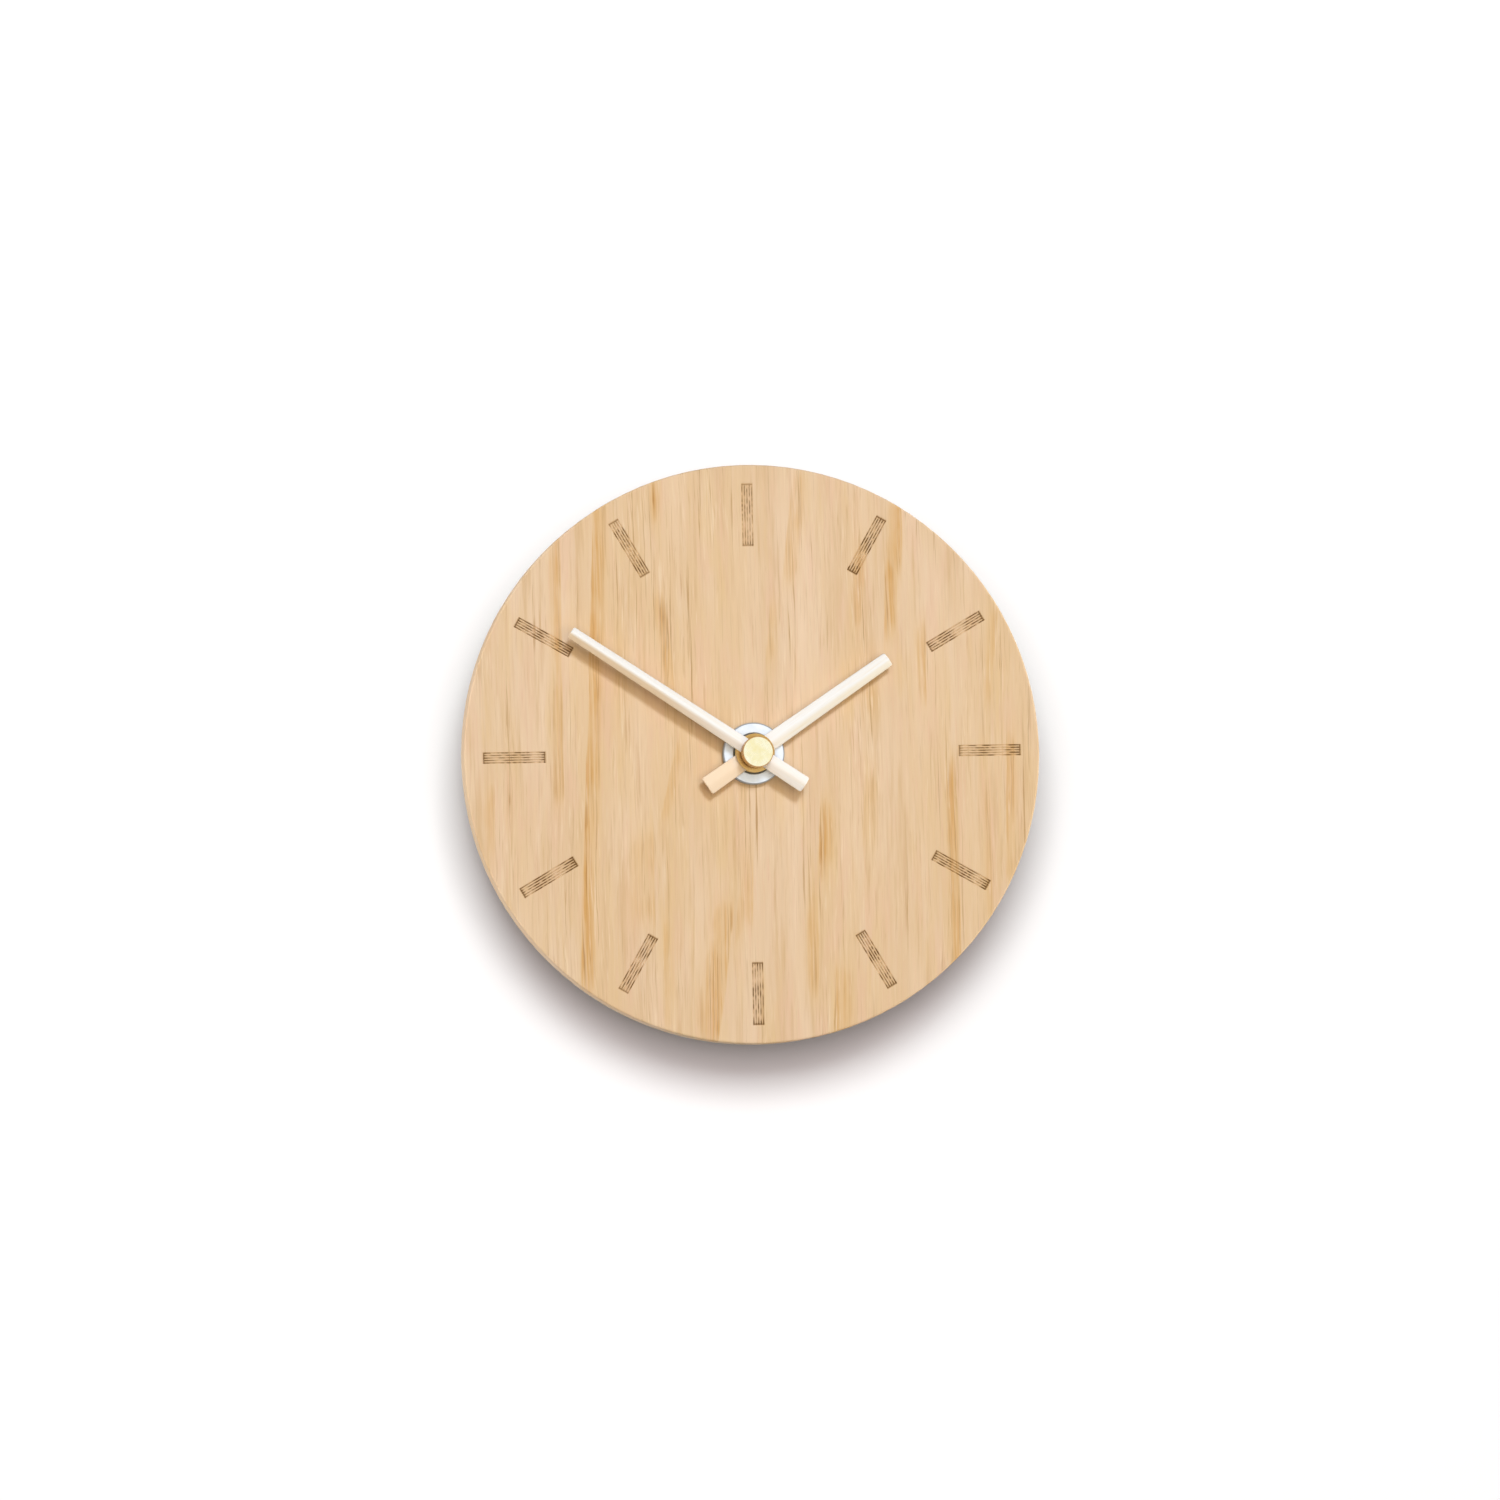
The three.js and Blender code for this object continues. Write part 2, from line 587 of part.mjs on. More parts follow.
// Going train: rotor, intermediate wheel, seconds wheel, third wheel and centre wheel
const centreBore = CENTRE_HUB_RADIUS + RUN_CLEARANCE;
const centreGear = gear(centreModule, CENTRE_TEETH, centreLayer.back, centreLayer.front);
const centreHole = rod(centreBore, centreLayer.back - OVERCUT, centreLayer.front + OVERCUT, SMALL_FACETS);
add("centre_wheel", cut(centreGear, centreHole), WHITE_PLASTIC, centreAxis, centreTurn);
const thirdWheel = wheelOnArbor(
  THIRD_MODULE, THIRD_TEETH, thirdLayer, centreModule, THIRD_PINION, centreLayer);
add("third_wheel", thirdWheel, WHITE_PLASTIC, thirdAxis, thirdTurn);
const secondsGear = gear(secondsModule, SECONDS_TEETH, secondsLayer.back, secondsLayer.front);
const secondsPinion = gear(THIRD_MODULE, SECONDS_PINION, secondsLayer.back, thirdLayer.front + PINION_OVERHANG);
const secondsBore = rod(
  SECONDS_ARBOR_DIAMETER / 2 + GLUE_GAP, secondsLayer.back - OVERCUT, thirdLayer.front + OVERCUT, SMALL_FACETS);
add("seconds_wheel", cut(join(secondsGear, secondsPinion), secondsBore), WHITE_PLASTIC);
add("seconds_arbor", turned([
  [0, plateFront - pivotReach],
  [PIVOT_RADIUS, plateFront - pivotReach],
  [PIVOT_RADIUS, plateFront + END_SHAKE],
  [SECONDS_ARBOR_DIAMETER / 2, plateFront + END_SHAKE],
  [SECONDS_ARBOR_DIAMETER / 2, arborTop - END_SHAKE],
  [0, arborTop - END_SHAKE],
], SMALL_FACETS), STEEL);
const intermediateWheel = wheelOnArbor(
  ROTOR_MODULE, INTERMEDIATE_TEETH, intermediateLayer,
  secondsModule, INTERMEDIATE_PINION, secondsLayer);
add("intermediate_wheel", intermediateWheel, WHITE_PLASTIC, intermediateAxis, intermediateTurn);
const rotorGear = gear(
  ROTOR_MODULE, ROTOR_TEETH, intermediateLayer.back, intermediateLayer.front + PINION_OVERHANG);
add("rotor_pinion", join(rotorGear, arbor()), WHITE_PLASTIC, rotorAxis, rotorTurn);

// Stepping motor: rotor magnet, stator plate, coil
const statorFront = centreLayer.front;
const statorBack = statorFront - STATOR_THICKNESS;
const magnetMiddle = (statorFront + statorBack) / 2;
const magnetBack = magnetMiddle - MAGNET_THICKNESS / 2;
const magnet = ring(
  ARBOR_RADIUS + GLUE_GAP, magnetRadius, magnetBack, magnetBack + MAGNET_THICKNESS);
add("rotor_magnet", magnet, MAGNET, rotorAxis);

const bayTop = -inner + BATTERY_DIAMETER + 2 * BAY_CLEARANCE;
const trainFloor = bayTop + CASE_WALL;
const coilBottom = trainFloor + STATOR_ARM + 2 * COVER_CLEARANCE;
const coilTop = coilBottom + COIL_LENGTH;
const coreFront = statorBack - GLUE_GAP;
const coilZ = coreFront - CORE_THICKNESS / 2;
const armEnd = coilX + CORE_WIDTH / 2;
const armBottom = coilBottom - COVER_CLEARANCE - STATOR_ARM;
const armTop = coilTop + COVER_CLEARANCE + STATOR_ARM;
const statorLeft = rotorAxis.x - statorHalf;
const statorRight = rotorAxis.x + statorHalf;
const statorPosts = [armBottom, armTop - STATOR_ARM].map(
  (foot) => new THREE.Vector2(statorLeft + STATOR_ARM / 2, foot + STATOR_ARM / 2));
const statorOutline = [
  [statorLeft, armBottom],
  [armEnd, armBottom],
  [armEnd, armBottom + STATOR_ARM],
  [statorRight, armBottom + STATOR_ARM],
  [statorRight, armTop - STATOR_ARM],
  [armEnd, armTop - STATOR_ARM],
  [armEnd, armTop],
  [statorLeft, armTop],
];
const statorShape = new THREE.Shape(statorOutline.map(([x, y]) => new THREE.Vector2(x, y)));
const rotorHole = rod(statorEye, statorBack - OVERCUT, statorFront + OVERCUT);
rotorHole.translate(rotorAxis.x, rotorAxis.y, 0);
const pinHole = PILLAR_PIN_RADIUS + RUN_CLEARANCE;
const statorHoles = statorPosts.map((post) =>
  rod(pinHole, statorBack - OVERCUT, statorFront + OVERCUT, SMALL_FACETS).translate(post.x, post.y, 0));
add("stator", cut(plate(statorShape, statorBack, statorFront), rotorHole, ...statorHoles), STEEL);

const coreHalf = CORE_WIDTH / 2;
const core = block(
  coilX - coreHalf, coilX + coreHalf, armBottom, armTop, coreFront - CORE_THICKNESS, coreFront);
add("coil_core", core, STEEL);
const tubeBore = Math.hypot(coreHalf, CORE_THICKNESS / 2) + RUN_CLEARANCE;
const tubeOuter = tubeBore + COIL_TUBE_WALL;
function alongCore(geometry) {
  return geometry.rotateX(-Math.PI / 2).translate(coilX, coilBottom, coilZ);
}
add("coil_bobbin", alongCore(turned([
  [tubeBore, 0],
  [COIL_RADIUS, 0],
  [COIL_RADIUS, COIL_FLANGE],
  [tubeOuter, COIL_FLANGE],
  [tubeOuter, COIL_LENGTH - COIL_FLANGE],
  [COIL_RADIUS, COIL_LENGTH - COIL_FLANGE],
  [COIL_RADIUS, COIL_LENGTH],
  [tubeBore, COIL_LENGTH],
  [tubeBore, 0],
])), WHITE_PLASTIC);
const windingEnd = COIL_LENGTH - COIL_FLANGE - GLUE_GAP;
const windingOuter = Math.max(COIL_RADIUS - WINDING_INSET, tubeOuter + WINDING_INSET);
const winding = ring(tubeOuter + GLUE_GAP, windingOuter, COIL_FLANGE + GLUE_GAP, windingEnd);
add("coil_winding", alongCore(winding), COPPER);

// Circuit: board with crystal and chip, and the two battery contacts
const boardFront = plateBack - LAYER_GAP;
const boardBack = boardFront - BOARD_THICKNESS;
const boardLeft = -inner + BOARD_EDGE;
const boardRight = boardLeft + BOARD_WIDTH;
const boardTop = BOARD_BOTTOM + BOARD_HEIGHT;
const boardMiddle = (boardLeft + boardRight) / 2;
const boardPosts = [BOARD_BOTTOM, boardTop].map((edge) => {
  const inward = edge === boardTop ? -1 : 1;
  return new THREE.Vector2(boardLeft + 2 * BOARD_POST_RADIUS, edge + inward * 2 * BOARD_POST_RADIUS);
});
const board = block(boardLeft, boardRight, BOARD_BOTTOM, boardTop, boardBack, boardFront);
add("circuit_board", board, GREEN_BOARD);
const crystalRadius = CRYSTAL_DIAMETER / 2;
const crystalBase = boardTop - CRYSTAL_LENGTH - 4 * BOARD_POST_RADIUS;
const crystal = rod(crystalRadius, 0, CRYSTAL_LENGTH, SMALL_FACETS).rotateX(-Math.PI / 2);
crystal.translate(boardMiddle, crystalBase, boardFront + crystalRadius + GLUE_GAP);
add("quartz_crystal", crystal, STEEL);
const chipRadius = CHIP_DIAMETER / 2;
const chipSide = CHIP_HEIGHT / 2;
const chip = turned([
  [0, GLUE_GAP],
  [chipRadius, GLUE_GAP],
  [chipRadius, GLUE_GAP + chipSide / 2],
  [chipRadius * 0.7, GLUE_GAP + chipSide + chipSide / 2],
  [0, GLUE_GAP + CHIP_HEIGHT],
], SMALL_FACETS);
chip.translate(boardMiddle, BOARD_BOTTOM + chipRadius + 2 * BOARD_POST_RADIUS, boardFront);
add("driver_chip", chip, RUBBER);

// Outline of a bent strip along a chain of points
function strip(points, thickness) {
  const sides = [1, -1].map((side) => points.map((point, i) => {
    const before = points[Math.max(i - 1, 0)];
    const after = points[Math.min(i + 1, points.length - 1)];
    const arriving = point.clone().sub(before).normalize();
    const leaving = after.clone().sub(point).normalize();
    const along = arriving.clone().add(leaving).normalize();
    const start = arriving.lengthSq() ? arriving : leaving;
    const widening = 1 / Math.abs(along.dot(start));
    return new THREE.Vector2(-along.y, along.x).multiplyScalar(side * widening * thickness / 2).add(point);
  }));
  return new THREE.Shape([...sides[0], ...sides[1].reverse()]);
}
const stripHalf = CONTACT_STRIP / 2;
const contactWall = inner - stripHalf - RUN_CLEARANCE;
const batteryEnd = BATTERY_LENGTH / 2;
const contactBow = contactWall - batteryEnd - CONTACT_CLEARANCE - stripHalf;
const bowBottom = -inner + BAY_CLEARANCE + CONTACT_END;
const bowTop = bayTop - BAY_CLEARANCE - CONTACT_END;
function bowedContact(side) {
  return Array.from({ length: BOW_FACETS + 1 }, (_, step) => {
    const t = step / BOW_FACETS;
    const lift = 1 - (2 * t - 1) ** 2;
    return new THREE.Vector2(side * (contactWall - contactBow * lift), bowBottom + t * (bowTop - bowBottom));
  });
}
const tailBack = COVER_THICKNESS + LAYER_GAP;
const tailFront = boardBack - GLUE_GAP;
const bayFront = tailBack + CONTACT_BAY_WIDTH;
const tabTop = BOARD_BOTTOM + 2 * BOARD_POST_RADIUS;
function contact(side, tail) {
  const bow = bowedContact(side);
  const spring = plate(strip(bow, CONTACT_STRIP), tailBack, bayFront);
  const lead = plate(strip([...bow.slice(-2), ...tail], CONTACT_STRIP), tailBack, tailFront);
  return join(spring, lead);
}
const railY = trainFloor + CONTACT_STRIP + COVER_CLEARANCE;
const negativeTail = [new THREE.Vector2(-contactWall, tabTop)];
const positiveTail = [
  new THREE.Vector2(contactWall, railY),
  new THREE.Vector2(boardMiddle, railY),
  new THREE.Vector2(boardMiddle, tabTop),
];
add("contact_negative", contact(-1, negativeTail), STEEL);
add("contact_positive", contact(1, positiveTail), STEEL);

// Battery, lying across the bottom with its positive end to the right
const batteryRadius = BATTERY_DIAMETER / 2;
const batteryY = -inner + batteryRadius + BAY_CLEARANCE;
const batteryZ = BATTERY_RECESS + batteryRadius;
const cellEnd = batteryEnd - TERMINAL_HEIGHT;
function alongBattery(geometry) {
  return geometry.rotateY(Math.PI / 2).translate(0, batteryY, batteryZ);
}
add("battery_cell", alongBattery(turned([
  [0, -batteryEnd],
  [batteryRadius - BATTERY_CHAMFER, -batteryEnd],
  [batteryRadius, -batteryEnd + BATTERY_CHAMFER],
  [batteryRadius, cellEnd - BATTERY_CHAMFER],
  [batteryRadius - BATTERY_CHAMFER, cellEnd],
  [0, cellEnd],
])), SLEEVE);
const terminalRadius = TERMINAL_DIAMETER / 2;
add("battery_terminal", alongBattery(rod(terminalRadius, cellEnd + GLUE_GAP, batteryEnd)), STEEL);

// Train plate on four pillars, with a hole for each pivot
const pivots = [centreAxis, thirdAxis, motionAxis, intermediateAxis, rotorAxis];
const pillars = PILLARS.map(([x, y]) => new THREE.Vector2(x, y));
const held = [...pivots, ...pillars, settingAxis];
const plateLeft = Math.min(...held.map((point) => point.x)) - PLATE_MARGIN;
const plateRight = Math.max(...held.map((point) => point.x)) + PLATE_MARGIN;
const plateBottom = trainFloor + COVER_CLEARANCE;
const plateTop = Math.max(...held.map((point) => point.y)) + PLATE_MARGIN + KNOB_SHAFT_RADIUS;
function drill(point, radius, back, front) {
  return rod(radius, back, front, SMALL_FACETS).translate(point.x, point.y, 0);
}
const plateHoles = [
  ...pivots.map((point) => drill(point, pivotHole, plateBack - OVERCUT, plateFront + OVERCUT)),
  ...pillars.map((point) => drill(point, pinHole, plateBack - OVERCUT, plateFront + OVERCUT)),
  drill(settingAxis, KNOB_SHAFT_RADIUS + RUN_CLEARANCE, plateBack - OVERCUT, plateFront + OVERCUT),
];
const plateShape = roundedRectangle(plateLeft, plateRight, plateBottom, plateTop, PLATE_MARGIN);
add("train_plate", cut(plate(plateShape, plateBack, plateFront), ...plateHoles), WHITE_PLASTIC);

// Case front: a tub with the battery bay, the train's pillars and posts, and the hanging eye
const tub = plate(roundedRectangle(-caseHalf, caseHalf, -caseHalf, caseHalf, CASE_CORNER), 0, caseDepth);
const eyeTop = caseHalf + HANGER_HEIGHT;
const eyeShape = new THREE.Shape();
eyeShape.moveTo(-HANGER_WIDTH / 2, caseHalf - CASE_WALL);
eyeShape.lineTo(HANGER_WIDTH / 2, caseHalf - CASE_WALL);
eyeShape.absarc(0, eyeTop - HANGER_WIDTH / 2, HANGER_WIDTH / 2, 0, Math.PI);
const eyeRadius = HANGER_HOLE_WIDTH / 2;
const eyeCentre = eyeTop - HANGER_RIM - eyeRadius;
const eyeHole = new THREE.Shape();
eyeHole.moveTo(-eyeRadius, caseHalf + HANGER_FOOT);
eyeHole.lineTo(eyeRadius, caseHalf + HANGER_FOOT);
eyeHole.absarc(0, eyeCentre, eyeRadius, 0, Math.PI);
const eye = plate(eyeShape, 0, HANGER_THICKNESS, SMALL_FACETS);
const rebate = inner + COVER_REBATE;
const coverBack = block(-rebate, rebate, trainFloor - COVER_REBATE, rebate, -OVERCUT, COVER_THICKNESS + GLUE_GAP);
const trainSpace = block(-inner, inner, trainFloor, inner, -OVERCUT, frontWall);
const bayFloor = caseDepth - BAY_FLOOR;
const baySpace = block(-inner, inner, -inner, bayTop, -OVERCUT, bayFloor);
const notches = [-1, 1].map((side) => {
  const ends = [side * inner, side * (inner - CONTACT_NOTCH)].sort((a, b) => a - b);
  return block(...ends, bayTop - OVERCUT, trainFloor + OVERCUT, -OVERCUT, bayFront);
});
const bushHole = rod(bushOuter + RUN_CLEARANCE, frontWall - OVERCUT, caseDepth + OVERCUT);
const eyeCut = plate(eyeHole, -OVERCUT, HANGER_THICKNESS + OVERCUT, SMALL_FACETS);
const shell = cut(join(tub, eye), coverBack, trainSpace, baySpace, ...notches, bushHole, eyeCut);
function standOff(point, radius, seat, pinEnd) {
  const rooted = frontWall + CASE_WALL / 2;
  const post = drill(point, radius, seat, rooted);
  return pinEnd === undefined ? post : join(post, drill(point, PILLAR_PIN_RADIUS, pinEnd, rooted));
}
const posts = [
  ...pillars.map((point) => standOff(point, PILLAR_RADIUS, plateFront + GLUE_GAP, plateBack)),
  ...statorPosts.map((point) => standOff(point, STATOR_POST_RADIUS, statorFront + GLUE_GAP, statorBack)),
  ...boardPosts.map((point) => standOff(point, BOARD_POST_RADIUS, boardFront + GLUE_GAP)),
];
const sockets = [thirdAxis, motionAxis, intermediateAxis, rotorAxis, settingAxis].map(
  (point) => drill(point, pivotHole, frontWall - OVERCUT, frontWall + pivotSocket));
add("case_front", cut(join(shell, ...posts), ...sockets), BLACK_PLASTIC);

// Case back: a cover let into the tub's rim, with a round window for the setting knob
const coverHalf = rebate - COVER_CLEARANCE;
const coverBottom = trainFloor - COVER_REBATE + COVER_CLEARANCE;
const cover = block(-coverHalf, coverHalf, coverBottom, coverHalf, 0, COVER_THICKNESS);
const knobWindow = drill(settingAxis, knobRadius + COVER_CLEARANCE, -OVERCUT, COVER_THICKNESS + OVERCUT);
add("case_back", cut(cover, knobWindow), BLACK_PLASTIC);

export default clock;
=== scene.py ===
"""Dresses a small round wooden wall clock: an oak dial with burnt hour bars, two pale
wooden hands under a brass cap, and the battery movement behind the dial.

Lengths are millimetres until a surface goes into its mesh; sheets, lamps and the camera are
placed in metres. A height is the distance in front of the wall, so it runs along -Y. A clock
angle counts clockwise from twelve.
"""
import json
import math

import bpy
import numpy as np
from mathutils import Matrix, Vector


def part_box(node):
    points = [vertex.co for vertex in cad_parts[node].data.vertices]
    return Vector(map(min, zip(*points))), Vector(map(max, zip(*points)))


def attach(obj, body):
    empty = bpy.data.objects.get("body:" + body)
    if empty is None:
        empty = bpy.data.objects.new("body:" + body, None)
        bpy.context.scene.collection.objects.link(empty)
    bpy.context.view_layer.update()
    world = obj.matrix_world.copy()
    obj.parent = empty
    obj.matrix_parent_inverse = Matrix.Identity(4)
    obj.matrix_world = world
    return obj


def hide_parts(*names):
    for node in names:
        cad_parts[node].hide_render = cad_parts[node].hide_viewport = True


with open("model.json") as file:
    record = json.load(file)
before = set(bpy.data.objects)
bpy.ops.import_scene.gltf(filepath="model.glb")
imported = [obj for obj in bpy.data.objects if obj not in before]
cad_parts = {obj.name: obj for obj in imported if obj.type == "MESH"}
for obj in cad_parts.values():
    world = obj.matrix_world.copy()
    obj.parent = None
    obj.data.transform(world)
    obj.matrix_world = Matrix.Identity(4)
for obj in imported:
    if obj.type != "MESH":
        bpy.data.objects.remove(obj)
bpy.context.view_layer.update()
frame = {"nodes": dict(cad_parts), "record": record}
scene = bpy.context.scene
scene.view_settings.view_transform = "Standard"
MM = 0.001
TURN = 2 * math.pi


def back_of(node):
    """How far the back of a CAD node is from the wall."""
    return round(-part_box(node)[1].y / MM, 3)


def front_of(node):
    """How far the front of a CAD node is from the wall."""
    return round(-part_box(node)[0].y / MM, 3)


def radius_of(node):
    """The radius of a CAD node that is round about the hands' axis."""
    return round(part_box(node)[1].x / MM, 3)


# Heights of the stack, from the case to the cap
CASE_FRONT, BAY_FLOOR = front_of("case_front"), 15.2
DIAL_BACK, DIAL_FRONT = back_of("dial"), front_of("dial")
NUT_FRONT = front_of("fixing_nut")
HOUR_COLLET, HOUR_HAND = back_of("hour_collet"), back_of("hour_hand")
MINUTE_COLLET, MINUTE_HAND = back_of("minute_collet"), back_of("minute_hand")
CAP_BACK, CAP_BORE_END, CAP_FRONT = back_of("hand_cap"), 34.8, front_of("hand_cap")

# Radii round the hands' axis
DIAL_RADIUS, COLLET_RADIUS = radius_of("dial"), radius_of("minute_collet")
DIAL_HOLE, MINUTE_BORE = 4.15, 1.4

# Degrees that the minute hand has turned since twelve, and how far the hour hand is ahead
MINUTE_DEGREES, HOUR_AHEAD = 664, 0.75
MINUTE_ANGLE = math.radians(MINUTE_DEGREES % 360)
HOUR_ANGLE = math.radians(MINUTE_DEGREES / 12 + HOUR_AHEAD)

# The AA cell's axis and mesh columns, and the place of the signs in its bay
CELL_HEIGHT = (back_of("battery_cell") + front_of("battery_cell")) / 2
CELL_Z = round(sum(corner.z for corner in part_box("battery_cell")) / 2 / MM, 3)
CELL_COLUMNS = 72
POLE_X, POLE_Z = 18, -22


# Surfaces

def quads(rows, columns, wrap_rows):
    """Corner numbers of the quads of a grid whose columns close on themselves: each quad
    joins a point, its right neighbour and the two points below them."""
    row = np.arange(rows if wrap_rows else rows - 1)[:, None]
    column = np.arange(columns)[None, :]
    right, below = (column + 1) % columns, (row + 1) % rows
    corners = (row * columns + column, row * columns + right,
               below * columns + right, below * columns + column)
    return np.stack(corners, -1).reshape(-1, 4)


def put(name, points, body, replaced=(), ring=True, marks=None):
    """Makes a closed mesh from a grid of points (rows, columns, 3) in millimetres. A ring
    closes its rows on themselves; otherwise the first and last rows close on a middle point.
    Faces are turned over if the signed volume, the sum of a . (b x c) over the triangles, is
    negative. marks are named values at the points."""
    rows, columns = points.shape[:2]
    vertices = points.reshape(-1, 3)
    faces = quads(rows, columns, ring)
    triangles = np.concatenate([faces[:, [0, 1, 2]], faces[:, [0, 2, 3]]])
    fans = np.zeros((0, 3), int)
    if not ring:
        first = np.arange(columns)
        following = (first + 1) % columns
        last = (rows - 1) * columns
        low, high = rows * columns, rows * columns + 1
        vertices = np.concatenate([vertices, points[[0, -1]].mean(1)])
        start = np.stack([following, first, np.full(columns, low)], -1)
        end = np.stack([last + first, last + following, np.full(columns, high)], -1)
        fans = np.concatenate([start, end])
        triangles = np.concatenate([triangles, fans])
    a, b, c = (vertices[triangles[:, corner]] for corner in range(3))
    if np.einsum("ij,ij->", a, np.cross(b, c)) < 0:
        faces, fans = faces[:, ::-1], fans[:, ::-1]
    mesh = bpy.data.meshes.new(name)
    mesh.from_pydata((vertices * MM).tolist(), [], faces.tolist() + fans.tolist())
    mesh.polygons.foreach_set("use_smooth", np.ones(len(mesh.polygons), bool))
    for mark, values in (marks or {}).items():
        padded = np.zeros(len(vertices))
        padded[:values.size] = values.reshape(-1)
        mesh.attributes.new(mark, "FLOAT", "POINT").data.foreach_set("value", padded)
    mesh.update()
    piece = bpy.data.objects.new(name, mesh)
    scene.collection.objects.link(piece)
    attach(piece, body)
    if replaced:
        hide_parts(*replaced)
    return piece


def softened(corners, steps=5, guard=0.04):
    """A closed profile through corners [x, y, softness]. Each corner becomes a parabola from
    the point at that softness along one side to the point at it along the other, with a
    guard point just outside each end that keeps the flats flat."""
    corners = np.asarray(corners, float)
    point, soft = corners[:, None, :2], corners[:, None, 2:]
    before = np.roll(corners[:, :2], 1, 0)[:, None] - point
    after = np.roll(corners[:, :2], -1, 0)[:, None] - point
    before /= np.linalg.norm(before, axis=-1, keepdims=True)
    after /= np.linalg.norm(after, axis=-1, keepdims=True)
    t = np.linspace(0, 1, steps)[None, :, None]
    curve = point + soft * ((1 - t) ** 2 * before + t ** 2 * after)
    whole = [point + before * (soft + guard), curve, point + after * (soft + guard)]
    return np.concatenate(whole, 1).reshape(-1, 2)


# Opens a softened profile at the axis: half of its first and of its last corner is left out
OPEN = slice(3, -4)


def turned(profile, columns=96):
    """A profile of radius and height carried round the hands' axis: x is radius times the
    cosine of the turn, z is radius times its sine, and y is minus the height."""
    angle = np.linspace(0, TURN, columns, endpoint=False)
    radius, height = profile[:, :1], profile[:, 1:]
    around = (radius * np.cos(angle), -height, radius * np.sin(angle))
    return np.stack(np.broadcast_arrays(*around), -1)


def faced(radius, clock_angle, height):
    """Points at a radius and clock angle: x is radius times the sine, z times the cosine."""
    around = (radius * np.sin(clock_angle), -height, radius * np.cos(clock_angle))
    return np.stack(np.broadcast_arrays(*around), -1)


def drift(values, seed, shortest, longest, count=4):
    """A smooth wander between -1 and 1: the mean of sines of seeded wavelengths and phases."""
    chance = np.random.default_rng(seed)
    length = chance.uniform(shortest, longest, count)
    phase = chance.uniform(0, TURN, count)
    return np.sin(TURN * values[..., None] / length + phase).mean(-1)


def ease(values):
    """0 below 0, 1 above 1, and the cubic 3t^2 - 2t^3 between them."""
    t = np.clip(values, 0, 1)
    return t * t * (3 - 2 * t)


def bell(distance, width):
    """The bell exp(-(d/w)^2) of a distance d."""
    return np.exp(-(distance / width) ** 2)


# Dial

BAR_INNER, BAR_OUTER, BAR_HALF, BAR_DEPTH = 53.9, 70.1, 1.45, 0.2
BAR_LINES = np.linspace(-1.275, 1.275, 5)
# How strongly each bar is burnt, from twelve o'clock on
BAR_BURN = [0.77, 1.14, 1.05, 0.97, 1.15, 1.05, 0.98, 1.0, 1.17, 0.99, 1.15, 0.93]


def burnt_bar(across, along, hour):
    """How deeply the hour bar is engraved (0 to 1) and how dark it is burnt (0 to 1).
    Five lengthwise lines and two end lines are bells exp(-(d/w)^2) of the distance d to the
    line. Each line breaks into dashes along its length, the whole bar fades in and out
    slowly, and both ends are darker, where the beam turns."""
    line_width, end_width, turn_width, end_soft, side_soft = 0.14, 0.2, 1.0, 0.3, 0.2
    started = ease((along - BAR_INNER) / end_soft + 0.5)
    reach = started * ease((BAR_OUTER - along) / end_soft + 0.5)
    within = ease((BAR_HALF - np.abs(across)) / side_soft + 0.5)
    lines = bell(across[..., None] - BAR_LINES, line_width)
    dashes = np.stack([
        0.74 + 0.75 * drift(along, seed=31 * hour + line, shortest=1.1, longest=6)
        for line in range(len(BAR_LINES))], -1)
    fade = 0.82 + 0.6 * drift(along, seed=900 + hour, shortest=4, longest=12, count=3)
    turns = bell(along - BAR_INNER, turn_width) + bell(along - BAR_OUTER, turn_width)
    ends = (bell(along - BAR_INNER - end_width, end_width)
            + bell(along - BAR_OUTER + end_width, end_width))
    strength = np.clip(fade + 0.3 * turns, 0.35, 1.15)
    beam = (lines * np.clip(dashes, 0.22, 1)).max(-1) * reach * strength
    depth = np.maximum(lines.max(-1) * reach, ends * within)
    toast = reach * within * np.clip(0.1 * fade - 0.01 + 0.14 * turns, 0, 1)
    burn = BAR_BURN[hour] * (np.maximum(beam, 0.65 * ends * within) + toast)
    return np.clip(depth, 0, 1), np.clip(burn, 0, 1)


